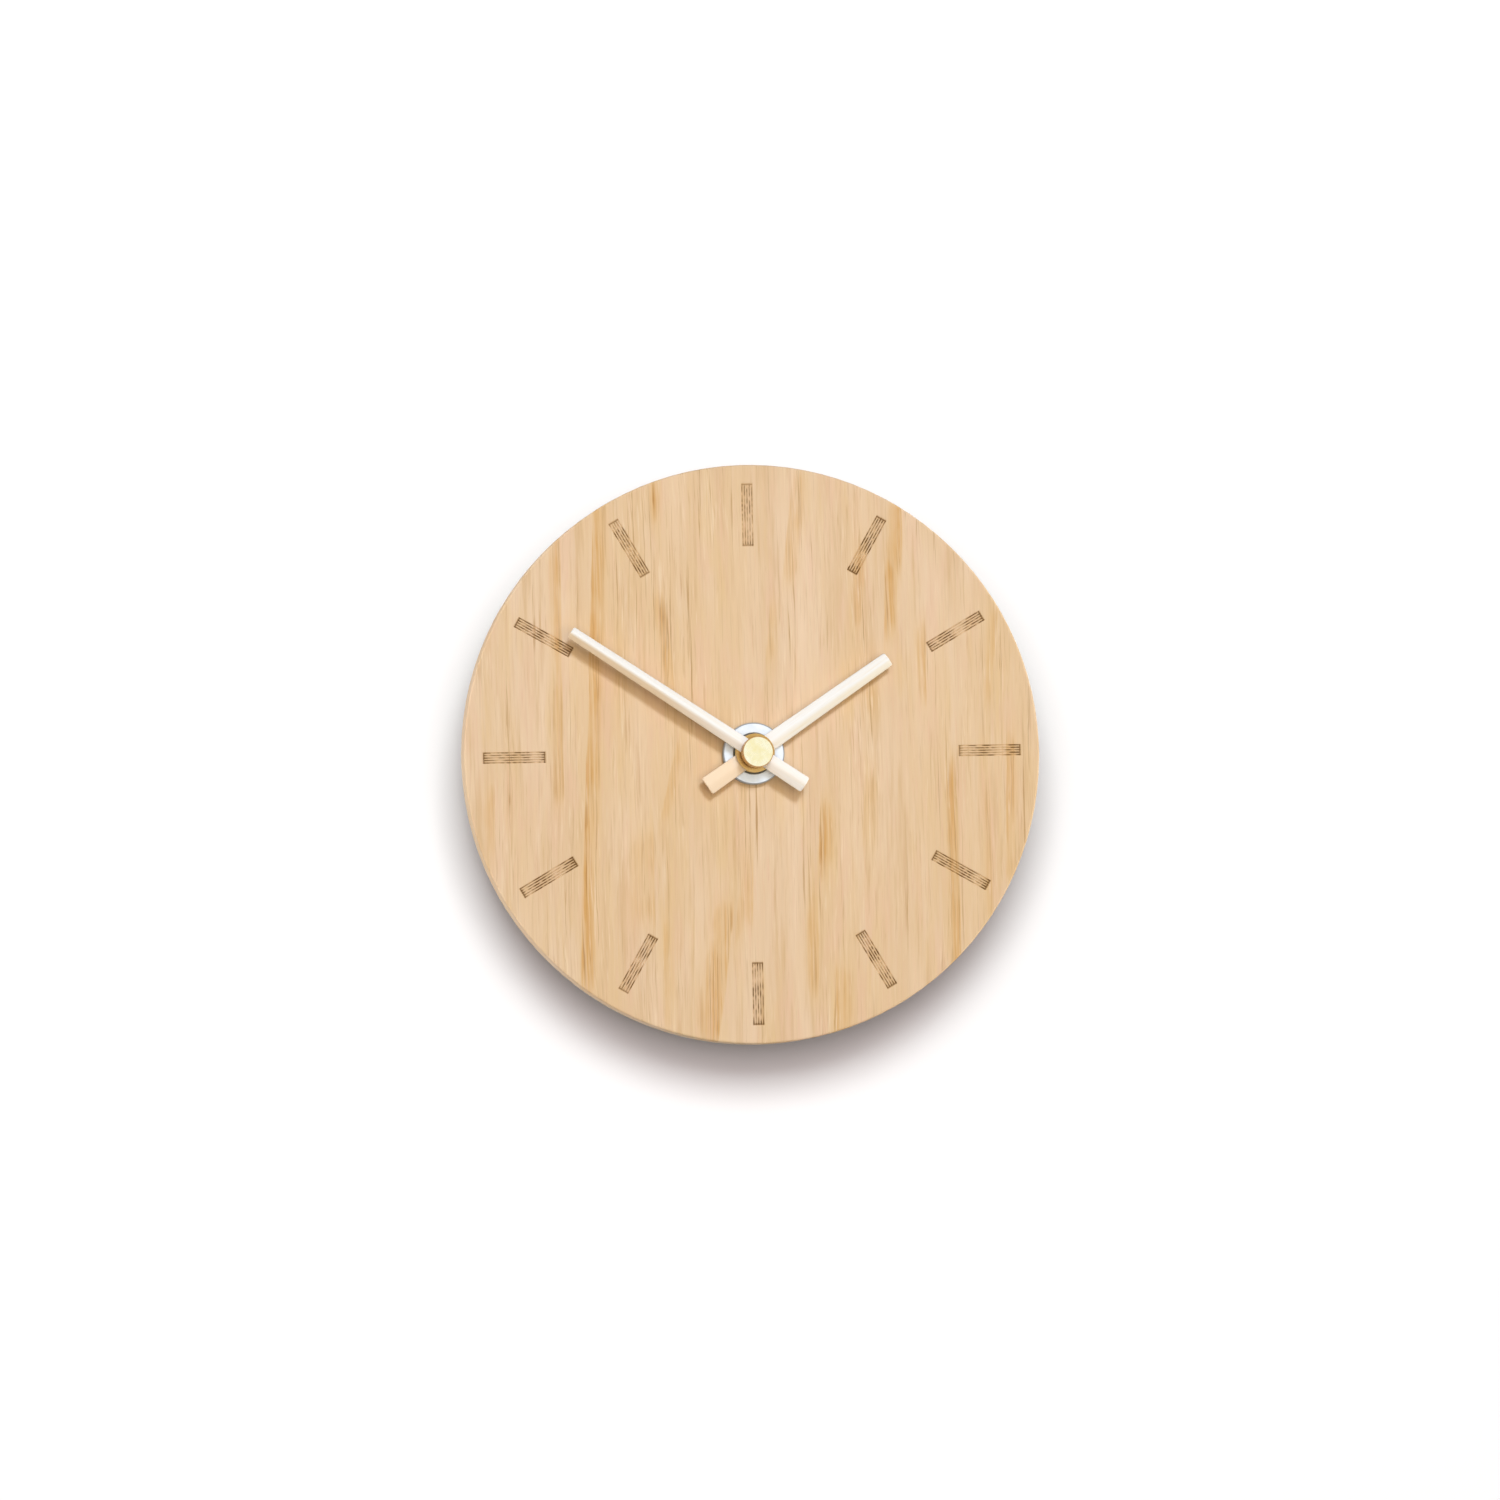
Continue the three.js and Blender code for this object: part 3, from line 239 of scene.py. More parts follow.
def oak_dial():
    """A ring surface. Its rows follow the disc's profile: front face inwards, hole, back face,
    rim. Its columns are lines parallel to each hour bar, at offsets x from the bar's middle,
    so their angle is arcsin(x / radius); between two bars the angle is spread evenly. Near
    the centre the offsets shrink with the radius. The front sinks by the engraved depth."""
    edge, hole_edge, guard, straight_radius = 0.55, 0.1, 0.05, 20
    shoulder = DIAL_RADIUS - edge
    middle = (DIAL_BACK + DIAL_FRONT) / 2
    arc = np.linspace(0, math.pi / 2, 6)
    face_radius = np.concatenate([
        [shoulder - guard, 73.6, 72.4], np.arange(70.9, 53.1, -0.2),
        [51, 46, 40, 33, 26, 19, 13, 8, 5.2, DIAL_HOLE + 0.3]])
    front_edge = np.stack([
        shoulder + edge * np.cos(arc), DIAL_FRONT - edge + edge * np.sin(arc)], -1)
    back_edge = np.stack([
        shoulder + edge * np.sin(arc), DIAL_BACK + edge - edge * np.cos(arc)], -1)
    profile = np.concatenate([
        front_edge,
        np.stack([face_radius, np.full(len(face_radius), DIAL_FRONT)], -1),
        [[DIAL_HOLE + hole_edge, DIAL_FRONT], [DIAL_HOLE, DIAL_FRONT - hole_edge],
         [DIAL_HOLE, middle], [DIAL_HOLE, DIAL_BACK + hole_edge], [DIAL_HOLE + hole_edge, DIAL_BACK]],
        [[radius, DIAL_BACK] for radius in (8, 20, 40, 60, shoulder - guard)],
        back_edge,
        [[DIAL_RADIUS, middle - 1.5], [DIAL_RADIUS, middle + 1.5]],
    ])
    r, h = profile[:, :1], profile[:, 1:]
    near = np.array([-0.24, -0.15, -0.075, 0, 0.075, 0.15, 0.24])
    beside_bar = np.array([1.6, 1.75, 2])
    offsets = np.concatenate([
        -beside_bar[::-1], (BAR_LINES[:, None] + near).reshape(-1), beside_bar])
    spread = np.linspace(0, 1, 9)[1:-1]
    beside = np.arcsin(offsets * np.minimum(1, r / straight_radius) / r)
    limit = beside[:, -1:]
    one_hour = np.concatenate([beside, limit + spread * (TURN / 12 - 2 * limit)], 1)
    across = r * np.sin(one_hour)
    facing = np.zeros((len(profile), 1))
    facing[len(front_edge):len(front_edge) + len(face_radius)] = 1
    bars = [burnt_bar(across, r * np.cos(one_hour), hour) for hour in range(12)]
    depth = np.concatenate([bar[0] for bar in bars], 1) * facing
    burn = np.concatenate([bar[1] for bar in bars], 1) * facing
    angle = np.concatenate([one_hour + hour * TURN / 12 for hour in range(12)], 1)
    points = faced(r, angle, h - BAR_DEPTH * depth)
    return put("oak_dial", points, "clock_body", ["dial"], marks={"burn": burn})


# Hands and centre

def stick_outline(length, tail, tail_width, tip_width, soft=0.5):
    """Points and outward directions round a tapered stick, anticlockwise. Between the four
    corners the points lie evenly on straight sides; each corner is an arc of radius soft."""
    arc_points, long_points, end_points = 7, 90, 14
    corners = np.array([[-tail_width / 2, -tail], [tail_width / 2, -tail],
                        [tip_width / 2, length], [-tip_width / 2, length]])
    side = np.roll(corners, -1, 0) - corners
    outward = np.stack([side[:, 1], -side[:, 0]], -1) / np.linalg.norm(side, axis=1, keepdims=True)
    heading = np.unwrap(np.arctan2(outward[:, 1], outward[:, 0]))
    arriving = np.roll(heading, 1)
    arriving[0] -= TURN
    previous = np.roll(outward, 1, 0)
    middle = corners - soft * (outward + previous) / (1 + (outward * previous).sum(1))[:, None]
    points, directions = [], []
    for corner in range(4):
        turn = np.linspace(arriving[corner], heading[corner], arc_points)
        normal = np.stack([np.cos(turn), np.sin(turn)], -1)
        arc = middle[corner] + soft * normal
        ahead = middle[(corner + 1) % 4] + soft * normal[-1]
        count = long_points if corner % 2 else end_points
        step = np.linspace(0, 1, count + 2)[1:-1, None]
        points += [arc, arc[-1] + step * (ahead - arc[-1])]
        directions += [normal, np.broadcast_to(normal[-1], (count, 2))]
    return np.concatenate(points), np.concatenate(directions)


def wooden_hand(name, node, body, length, tail, tail_width, tip_width, fall, back, hole, clock_angle):
    """A ring surface between the hole and the outline of a tapered stick. Each column runs
    along the back from the hole to the outline, up the side and back over the ridged front.
    The front falls from the ridge by fall (sqrt(a^2 + 0.09) - 0.3) / (sqrt(1.09) - 0.3), where
    a is the distance from the middle line over half the width there. The back's edge is a
    quarter circle, and the front's edge a parabola between the side and the slope."""
    thickness, round_ridge, front_soft, back_soft, least_side = 1.5, 0.3, 0.32, 0.12, 0.16
    outline, outward = stick_outline(length, tail, tail_width, tip_width)
    bore = hole * outline / np.linalg.norm(outline, axis=1, keepdims=True)

    def half_width(y):
        return (tail_width + (tip_width - tail_width) * ((y + tail) / (length + tail))) / 2

    def crown(place):
        aside = np.clip(np.abs(place[..., 0]) / half_width(place[..., 1]), 0, 1)
        drop = np.hypot(aside, round_ridge) - round_ridge
        return back + thickness - fall * drop / (math.hypot(1, round_ridge) - round_ridge)

    def row(place, height):
        heights = np.broadcast_to(np.asarray(height, float), place.shape[:1])
        return np.concatenate([place, heights[:, None]], 1)

    back_edge, front_edge = outline - outward * back_soft, outline - outward * front_soft
    rows = [row(bore + (back_edge - bore) * t, back) for t in np.linspace(0, 1, 8)]
    for turn in np.linspace(0, math.pi / 2, 5)[1:]:
        drawn = outline - outward * back_soft * (1 - math.sin(turn))
        rows.append(row(drawn, back + back_soft * (1 - math.cos(turn))))
    brim = crown(outline)
    below = brim - np.minimum(front_soft, brim - back - least_side)
    for t in np.linspace(0, 1, 6):
        height = (1 - t) ** 2 * below + 2 * t * (1 - t) * brim + t * t * crown(front_edge)
        rows.append(row(outline - outward * front_soft * t * t, height))
    for t in np.linspace(0, 1, 40)[1:]:
        place = front_edge + (bore - front_edge) * t
        rows.append(row(place, crown(place)))
    x, y, height = np.moveaxis(np.stack(rows), -1, 0)
    sine, cosine = math.sin(clock_angle), math.cos(clock_angle)
    points = np.stack([x * cosine + y * sine, -height, y * cosine - x * sine], -1)
    marks = {"along": y, "across": x / half_width(y)}
    return put(name, points, body, [node], marks=marks)


def brass_cap():
    """A turned cup: bore, back, side and a flat face with a soft rim. Its side is marked for a darker
    painted reflection.
    """
    axis, radius, face, rim, mark_soft, columns = 0.02, radius_of("hand_cap"), 3.66, 0.36, 0.3, 128
    profile = softened([
        [axis, CAP_BORE_END, 0.01], [MINUTE_BORE, CAP_BORE_END, 0.1], [MINUTE_BORE, CAP_BACK, 0.15],
        [radius, CAP_BACK, 0.15], [radius, CAP_FRONT - rim, 0.12], [face, CAP_FRONT, 0.1],
        [axis, CAP_FRONT, 0.01]])[OPEN]
    # The marked side takes a darker amber: a painted reflection of dim surroundings
    marks = {"side": np.repeat(ease((CAP_FRONT - profile[:, 1:]) / mark_soft), columns, 1)}
    points = turned(profile, columns)
    return put("brass_cap", points, "minute_body", ["hand_cap"], ring=False, marks=marks)


def brass_collets():
    """Two turned flanges with soft edges behind the hands; the hour's has a short sleeve."""
    hour_bore, sleeve_radius, sleeve_length, thickness, columns = 2.5, 3.4, 1, 0.6, 128
    flange = HOUR_COLLET + sleeve_length
    hour = softened([
        [hour_bore, HOUR_COLLET, 0.08], [sleeve_radius, HOUR_COLLET, 0.1],
        [sleeve_radius, flange, 0.05], [COLLET_RADIUS, flange, 0.12],
        [COLLET_RADIUS, flange + thickness, 0.15], [hour_bore, flange + thickness, 0.05]])
    minute = softened([
        [MINUTE_BORE, MINUTE_COLLET, 0.05], [COLLET_RADIUS, MINUTE_COLLET, 0.12],
        [COLLET_RADIUS, MINUTE_COLLET + thickness, 0.15],
        [MINUTE_BORE, MINUTE_COLLET + thickness, 0.05]])
    return [
        put("hour_flange", turned(hour, columns), "hour_body", ["hour_collet"]),
        put("minute_flange", turned(minute, columns), "minute_body", ["minute_collet"]),
    ]


def zinc_nut():
    """A turned ring with a countersunk bore and two spanner slots. The columns near a slot are
    lines at offsets x from its middle, at the angle arcsin(x / radius); inside the slot the
    ring's outer half is drawn in, so that its radius ends at the slot's floor. The side and
    the countersink are marked for painted shade, a darker grey."""
    bore, sunk, outer, floor = 4.15, 5.45, radius_of("fixing_nut"), 6.6
    rim, slot_half, between = 0.35, 1, 50
    profile = softened([
        [bore, DIAL_FRONT, 0.08], [outer, DIAL_FRONT, 0.1], [outer, NUT_FRONT - rim, 0.1],
        [outer - rim, NUT_FRONT, 0.1], [sunk, NUT_FRONT, 0.08],
        [bore, NUT_FRONT - sunk + bore, 0.08]])
    r, h = profile[:, :1], profile[:, 1:]
    offsets = np.array([
        -1.5, -1.12, -1.03, -0.97, -0.85, -0.4, 0, 0.4, 0.85, 0.97, 1.03, 1.12, 1.5])
    beside = np.arcsin(offsets / r)
    limit = beside[:, -1:]
    spread = np.linspace(0, 1, between + 2)[1:-1]
    half_turn = np.concatenate([beside, limit + spread * (math.pi - 2 * limit)], 1)
    slotted = np.concatenate([np.abs(offsets) < slot_half, np.zeros(between, bool)])
    keep = sunk + 0.2
    inward = keep + (r - keep) * (floor - keep) / (outer - keep)
    drawn = np.where(slotted & (r > keep), inward, r)
    angle = np.concatenate([half_turn, half_turn + math.pi], 1) + HOUR_ANGLE
    points = faced(np.concatenate([drawn, drawn], 1), angle, h)
    # Painted shade: the outer side and the countersink are marked to take a darker grey
    edges = ((r > outer - 0.3) | (r < sunk - 0.03)) & (h < NUT_FRONT - 0.03)
    side = np.broadcast_to(np.where(edges, 1.0, 0.0), angle.shape)
    return put("zinc_nut", points, "clock_body", ["fixing_nut"], marks={"side": side})


def rubber_washer():
    """A turned ring between case and dial, its outer edge rounded."""
    bore, outer = 6.15, radius_of("rubber_gasket")
    profile = softened([
        [bore, CASE_FRONT, 0.1], [outer, CASE_FRONT, 0.4], [outer, DIAL_BACK, 0.4],
        [bore, DIAL_BACK, 0.1]])
    return put("rubber_washer", turned(profile), "clock_body", ["rubber_gasket"])


def along_cell(profile):
    """A profile of radius and x carried round the cell's axis, which lies across the bay."""
    angle = np.linspace(0, TURN, CELL_COLUMNS, endpoint=False)
    radius, x = profile[:, :1], profile[:, 1:]
    around = (x, -CELL_HEIGHT + radius * np.cos(angle), CELL_Z + radius * np.sin(angle))
    return np.stack(np.broadcast_arrays(*around), -1)


def dry_cell():
    """The AA cell: a turned can in a thin sleeve that wraps over both ends, and its nub."""
    can = softened([
        [0.02, -24.75, 0.01], [4.6, -24.75, 0.1], [5.0, -25, 0.1], [5.9, -25, 0.1],
        [5.9, -24.85, 0.04], [6.45, -24.85, 0.2], [7.1, -24.2, 0.35], [7.1, 23.2, 0.35],
        [6.4, 23.8, 0.2], [5.4, 23.8, 0.1], [5.3, 23.55, 0.1], [3.3, 23.55, 0.1],
        [3.1, 23.75, 0.05], [0.02, 23.75, 0.01]])[OPEN]
    nub = softened([
        [0.02, 23.85, 0.01], [2.75, 23.85, 0.05], [2.75, 24.8, 0.3], [2.3, 25, 0.15],
        [0.02, 25, 0.01]])[OPEN]
    sleeve_end, sleeve_lip = 23.4, 5.95
    bare = np.where((np.abs(can[:, 1:]) > sleeve_end) & (can[:, :1] < sleeve_lip), 1.0, 0.0)
    marks = {"bare": np.repeat(bare, CELL_COLUMNS, 1)}
    body, sleeved = "battery_body", "battery_sleeve"
    return [
        put("cell_can", along_cell(can), body, ["battery_cell"], ring=False, marks=marks),
        put("cell_nub", along_cell(nub), body, ["battery_terminal"], ring=False),
    ]


def pole_mark(name, corners, x):
    """A raised sign on the floor of the battery bay. Its outline is carried from just under
    the floor to 0.3 above it, and the top row is drawn in by 0.12 on each side."""
    outline = np.array(corners, float)
    rows = []
    for above, drawn in ((-0.05, 0), (0.18, 0), (0.26, 0.04), (0.3, 0.12)):
        shape = outline - drawn * np.sign(outline)
        level = np.full(len(shape), above - BAY_FLOOR)
        rows.append(np.stack([x + shape[:, 0], level, POLE_Z + shape[:, 1]], -1))
    return put(name, np.stack(rows), "clock_body", ring=False)


def eased_edges(node, width):
    """Rounds the sharp edges of a moulded CAD node. Its loose triangles are joined first, and
    every edge that turns by more than 35 degrees gets a rounding of the given width."""
    joined = node.modifiers.new("joined", "WELD")
    joined.merge_threshold = 1e-6
    rounded = node.modifiers.new("rounded", "BEVEL")
    rounded.width, rounded.segments = width * MM, 2
    rounded.limit_method, rounded.angle_limit = "ANGLE", math.radians(35)
    rounded.use_clamp_overlap = True


for moulding, width in (("case_front", 0.25), ("case_back", 0.2), ("set_knob", 0.12)):
    eased_edges(frame["nodes"][moulding], width)
dial = oak_dial()
hour_hand = wooden_hand(
    "hour_stick", "hour_hand", "hour_body", length=42.75, tail=15.1, tail_width=4.95,
    tip_width=3.8, fall=0.8, back=HOUR_HAND, hole=1.85, clock_angle=HOUR_ANGLE)
minute_hand = wooden_hand(
    "minute_stick", "minute_hand", "minute_body", length=57, tail=15.3, tail_width=4.3,
    tip_width=3.1, fall=1.2, back=MINUTE_HAND, hole=MINUTE_BORE, clock_angle=MINUTE_ANGLE)
cap = brass_cap()
flanges = brass_collets()
nut = zinc_nut()
washer = rubber_washer()
cell_can, cell_nub = dry_cell()
ARM, STROKE = 1.8, 0.45
minus_corners = [[-ARM, -STROKE], [ARM, -STROKE], [ARM, STROKE], [-ARM, STROKE]]
plus_corners = [
    [-STROKE, -ARM], [STROKE, -ARM], [STROKE, -STROKE], [ARM, -STROKE], [ARM, STROKE],
    [STROKE, STROKE], [STROKE, ARM], [-STROKE, ARM], [-STROKE, STROKE], [-ARM, STROKE],
    [-ARM, -STROKE], [-STROKE, -STROKE]]
pole_marks = [
    pole_mark("minus_sign", minus_corners, -POLE_X), pole_mark("plus_sign", plus_corners, POLE_X)]


# Finishes

def tint(red, green, blue):
    """A colour written in 0 to 255, as the screen shows it, in linear light."""
    value = np.array([red, green, blue]) / 255
    linear = np.where(value <= 0.04045, value / 12.92, ((value + 0.055) / 1.055) ** 2.4)
    return (*linear.tolist(), 1.0)


def grey(level):
    """A grey in linear light."""
    return (level, level, level, 1.0)


class Nodes:
    """A node tree. Its methods add nodes and give back the last one's output."""

    def __init__(self, tree):
        self.tree = tree

    def node(self, kind, inputs, **settings):
        """Adds a node with its inputs, which are values or other nodes' outputs."""
        made = self.tree.nodes.new(kind)
        for key, value in settings.items():
            setattr(made, key, value)
        for key, value in inputs.items():
            if isinstance(value, bpy.types.NodeSocket):
                self.tree.links.new(value, made.inputs[key])
            else:
                made.inputs[key].default_value = value
        return made

    def scaled(self, at, scale):
        return self.node("ShaderNodeVectorMath", {0: at, 1: scale}, operation="MULTIPLY").outputs[0]

    def parts(self, at):
        return self.node("ShaderNodeSeparateXYZ", {"Vector": at}).outputs

    def noise(self, at, detail, rough, seed=0.0):
        inputs = {"Vector": at, "W": seed, "Scale": 1.0, "Detail": detail, "Roughness": rough}
        return self.node("ShaderNodeTexNoise", inputs, noise_dimensions="4D").outputs[0]

    def range(self, value, low, high, to_low, to_high, kind="LINEAR"):
        inputs = {0: value, 1: low, 2: high, 3: to_low, 4: to_high}
        return self.node("ShaderNodeMapRange", inputs, interpolation_type=kind).outputs[0]

    def window(self, value, low, high, below, above):
        """1 from low to high, easing to 0 over a length below low and a length above high."""
        rise = self.range(value, low - below, low, 0, 1, "SMOOTHSTEP")
        fall = self.range(value, high, high + above, 1, 0, "SMOOTHSTEP")
        return self.maths("MULTIPLY", rise, fall)

    def maths(self, operation, first, second):
        return self.node("ShaderNodeMath", {0: first, 1: second}, operation=operation).outputs[0]

    def mix(self, share, first, second, blend="MIX"):
        inputs = {0: share, 6: first, 7: second}
        return self.node("ShaderNodeMix", inputs, data_type="RGBA", blend_type=blend).outputs[2]

    def ramp(self, value, stops):
        made = self.node("ShaderNodeValToRGB", {0: value})
        while len(made.color_ramp.elements) < len(stops):
            made.color_ramp.elements.new(0.5)
        for element, (position, colour) in zip(made.color_ramp.elements, stops):
            element.position, element.color = position, colour
        return made.outputs[0]

    def seen(self):
        """1 for rays from the camera, a mirror or a clear surface, and 0 for the others."""
        path = self.node("ShaderNodeLightPath", {}).outputs
        mirrored = self.maths("MAXIMUM", path["Is Camera Ray"], path["Is Glossy Ray"])
        return self.maths("MAXIMUM", mirrored, path["Is Transmission Ray"])


class Finish(Nodes):
    """The node tree of a new material, with its principled shader."""

    def __init__(self, name, **sockets):
        self.material = bpy.data.materials.new(name)
        self.material.use_nodes = True
        super().__init__(self.material.node_tree)
        self.shader = self.tree.nodes["Principled BSDF"]
        for socket, value in sockets.items():
            self.shader.inputs[socket.replace("_", " ")].default_value = value

    def place(self, rotation=(0, 0, 0)):
        """Where a point of the piece is, in millimetres, turned."""
        at = self.node("ShaderNodeTexCoord", {}).outputs["Object"]
        inputs = {"Vector": at, "Rotation": rotation, "Scale": (1 / MM, 1 / MM, 1 / MM)}
        return self.node("ShaderNodeMapping", inputs).outputs[0]

    def mark(self, name):
        """A named value at the points of the piece."""
        return self.node("ShaderNodeAttribute", {}, attribute_name=name).outputs["Fac"]

    def use(self, socket, value):
        self.tree.links.new(value, self.shader.inputs[socket])

    def bump(self, height, depth, strength):
        inputs = {"Height": height, "Distance": depth * MM, "Strength": strength}
        self.use("Normal", self.node("ShaderNodeBump", inputs).outputs[0])

    def overlay(self, share, other):
        """Shows another shader in place of the material's own, by a share."""
        both = self.node("ShaderNodeMixShader", {0: share, 1: self.shader.outputs[0], 2: other})
        self.tree.links.new(both.outputs[0], self.tree.nodes["Material Output"].inputs["Surface"])


# Honey coloured streaks of the dial:
# middle x, lean of x with z, half width, z from, z to, strength
HONEY_STREAKS = [
    (-41.9, 0.04, 1.0, -62, 70, 0.95), (-49.8, 0.0, 0.8, -14, 60, 0.7),
    (-24.3, 0.0, 0.6, 60, 76, 0.85), (-21.3, -0.1, 0.8, 13, 42, 0.85),
    (-21.0, 0.23, 0.8, -18, 6, 0.6), (-27.5, 0.0, 2.4, -46, -18, 0.55),
    (-23.6, 0.0, 0.6, -72, -40, 0.6), (-9.5, 0.13, 2.0, -78, -38, 0.85),
    (-4.5, 0.1, 0.8, -54, -34, 0.5), (-68.5, 0.0, 1.2, -28, -4, 0.5),
    (11.2, 0.13, 1.4, 42, 76, 0.6), (39.6, 0.02, 1.2, 44, 70, 0.95),
    (36.4, 0.08, 0.9, 29, 52, 1.0), (29.5, 0.12, 1.0, 31, 57, 0.55),
    (30.5, 0.0, 1.0, 5, 21, 0.55), (45.0, 0.02, 0.7, 9, 35, 0.7),
    (5.0, 0.1, 0.6, 21, 41, 0.5), (63.5, 0.1, 0.6, 10, 42, 0.5),
    (17.4, 0.05, 1.2, -34, -12, 0.85), (15.2, 0.03, 0.8, -64, -30, 0.7),
    (20.8, 0.03, 1.5, -78, -53, 0.85), (52.2, 0.0, 0.7, -64, -2, 0.95),
    (67.2, 0.02, 0.7, -38, 6, 0.7), (61.6, 0.0, 0.5, -48, 4, 0.45),
    (29.0, 0.05, 1.2, -24, -2, 0.5), (-1.3, 0.02, 1.0, -48, -22, 0.5),
]
STREAK_INSET, STREAK_FADE, STREAK_SHARP = 8, 14, 0.8


def honey_streaks(finish, grain):
    """How much of a honey streak there is at a place of the grain: the greatest of windows in
    x and z. A streak leans in x with z, is sharp on one side and soft on the other, by turns,
    and fades at both ends."""
    part = finish.parts(grain)
    honey = None
    for number, (x, lean, half, low, high, strength) in enumerate(HONEY_STREAKS):
        inputs = {0: part["Z"], 1: -lean, 2: part["X"]}
        line = finish.node("ShaderNodeMath", inputs, operation="MULTIPLY_ADD").outputs[0]
        middle = x - lean * (low + high) / 2
        soft = half * 2.5 + 1.5
        edges = (soft, STREAK_SHARP) if number % 2 else (STREAK_SHARP, soft)
        breadth = finish.window(line, middle - half * 0.5, middle + half * 0.5, *edges)
        length = finish.window(
            part["Z"], low + STREAK_INSET, high - STREAK_INSET, STREAK_FADE, STREAK_FADE)
        streak = finish.maths("MULTIPLY", finish.maths("MULTIPLY", breadth, strength), length)
        honey = streak if honey is None else finish.maths("MAXIMUM", honey, streak)
    return honey


def oak():
    """Straight grained pale oak. The grain runs along Z and wanders a little in X. Pale, pink,
    yellow and tan figure lies under thin pink, light and dark lines, fibres and pores. The
    outskirts of a honey streak are yellow, and its core breaks up into threads and thin brown
    lines. The hour bars are scorched where the burn mark says."""
    finish = Finish("pale_oak", Roughness=0.6, Specular_IOR_Level=0.3)
    at = finish.place()
    sway = finish.noise(finish.scaled(at, (1 / 40, 1 / 40, 1 / 110)), 2.0, 0.5, 1.0)
    fray = finish.noise(finish.scaled(at, (1 / 0.8, 1 / 0.8, 1 / 16)), 2.0, 0.6, 2.0)
    swayed = finish.range(sway, 0.25, 0.75, -1.1, 1.1)
    shift = finish.maths("ADD", swayed, finish.range(fray, 0.2, 0.8, -0.3, 0.3))
    shift = finish.node("ShaderNodeCombineXYZ", {"X": shift}).outputs[0]
    grain = finish.node("ShaderNodeVectorMath", {0: at, 1: shift}, operation="ADD").outputs[0]

    def figure(across, along, detail, rough, seed):
        """A noise with patches so wide across the grain and so long along it."""
        stretched = finish.scaled(grain, (1 / across, 1 / across, 1 / along))
        return finish.noise(stretched, detail, rough, seed)

    def tinged(colour, pattern, low, high, share, toward, times=None):
        """A colour drawn towards another, up to a share, as a pattern goes from low to high."""
        amount = finish.range(pattern, low, high, 0, share)
        if times:
            amount = finish.maths("MULTIPLY", amount, times)
        return finish.mix(amount, colour, toward)

    colour = finish.ramp(figure(8, 60, 3.0, 0.55, 3.0), [
        (0.32, tint(237, 208, 176)), (0.5, tint(230, 200, 164)), (0.68, tint(223, 190, 150))])
    colour = tinged(colour, figure(15, 120, 2.0, 0.5, 18.0), 0.45, 0.59, 0.5, tint(226, 192, 145))
    colour = tinged(colour, figure(5, 30, 3.0, 0.55, 4.0), 0.5, 0.66, 0.5, tint(231, 192, 161))
    colour = tinged(colour, figure(4, 32, 3.0, 0.55, 5.0), 0.54, 0.7, 0.45, tint(228, 195, 143))
    colour = tinged(colour, figure(3.2, 36, 3.0, 0.6, 13.0), 0.52, 0.68, 0.5, tint(233, 205, 174))
    colour = tinged(colour, figure(2.2, 40, 3.0, 0.6, 7.0), 0.55, 0.7, 0.6, tint(212, 176, 131))

    patchy = finish.range(figure(5, 14, 2.0, 0.5, 15.0), 0.36, 0.6, 0.6, 1.1)
    honey = finish.maths("MULTIPLY", honey_streaks(finish, grain), patchy)
    colour = finish.mix(finish.range(honey, 0.03, 0.5, 0, 0.42), colour, tint(226, 189, 136))
    core = finish.range(honey, 0.3, 0.95, 0, 1)
    threads = finish.range(figure(0.6, 44, 3.0, 0.65, 6.0), 0.42, 0.56, 0.15, 1)
    colour = finish.mix(finish.maths("MULTIPLY", core, threads), colour, tint(214, 166, 104))
    brown = finish.range(figure(0.4, 36, 2.0, 0.5, 14.0), 0.54, 0.62, 0, 0.55)
    colour = finish.mix(finish.maths("MULTIPLY", core, brown), colour, tint(160, 112, 60))

    busy = finish.range(figure(7, 34, 2.0, 0.5, 17.0), 0.42, 0.6, 0.35, 1.2)
    pink_line, light_line = figure(0.5, 13, 2.0, 0.5, 16.0), figure(0.42, 11, 2.0, 0.5, 10.0)
    dark_line, long_line = figure(0.4, 13, 2.0, 0.55, 8.0), figure(0.55, 48, 3.0, 0.6, 9.0)
    colour = tinged(colour, pink_line, 0.56, 0.68, 0.28, tint(227, 184, 152))
    colour = tinged(colour, light_line, 0.57, 0.69, 0.42, tint(243, 218, 185), busy)
    colour = tinged(colour, dark_line, 0.56, 0.69, 0.36, tint(194, 154, 106), busy)
    colour = tinged(colour, long_line, 0.6, 0.68, 0.6, tint(174, 132, 80), busy)
    fibre = figure(0.22, 16, 2.0, 0.5, 11.0)
    shaded = finish.ramp(fibre, [(0.3, grey(0.965)), (0.7, grey(1.0))])
    colour = finish.mix(1.0, colour, shaded, "MULTIPLY")
    pore = finish.range(figure(0.26, 5, 1.0, 0.5, 12.0), 0.68, 0.8, 0, 1)
    colour = finish.mix(finish.maths("MULTIPLY", pore, 0.18), colour, tint(182, 140, 92))

    burn = finish.mark("burn")
    scorch = finish.ramp(burn, [
        (0.0, grey(0)), (0.2, grey(0.2)), (0.6, grey(0.68)), (1.0, grey(0.97))])
    char = finish.ramp(burn, [(0.1, tint(172, 122, 35)), (0.75, tint(98, 64, 15))])
    finish.use("Base Color", finish.mix(scorch, colour, char))
    finish.use("Roughness", finish.range(fibre, 0.3, 0.7, 0.54, 0.66))
    relief = finish.maths("SUBTRACT", finish.maths("MULTIPLY", fibre, 0.5), pore)
    finish.bump(relief, 0.05, 0.25)
    return finish.material


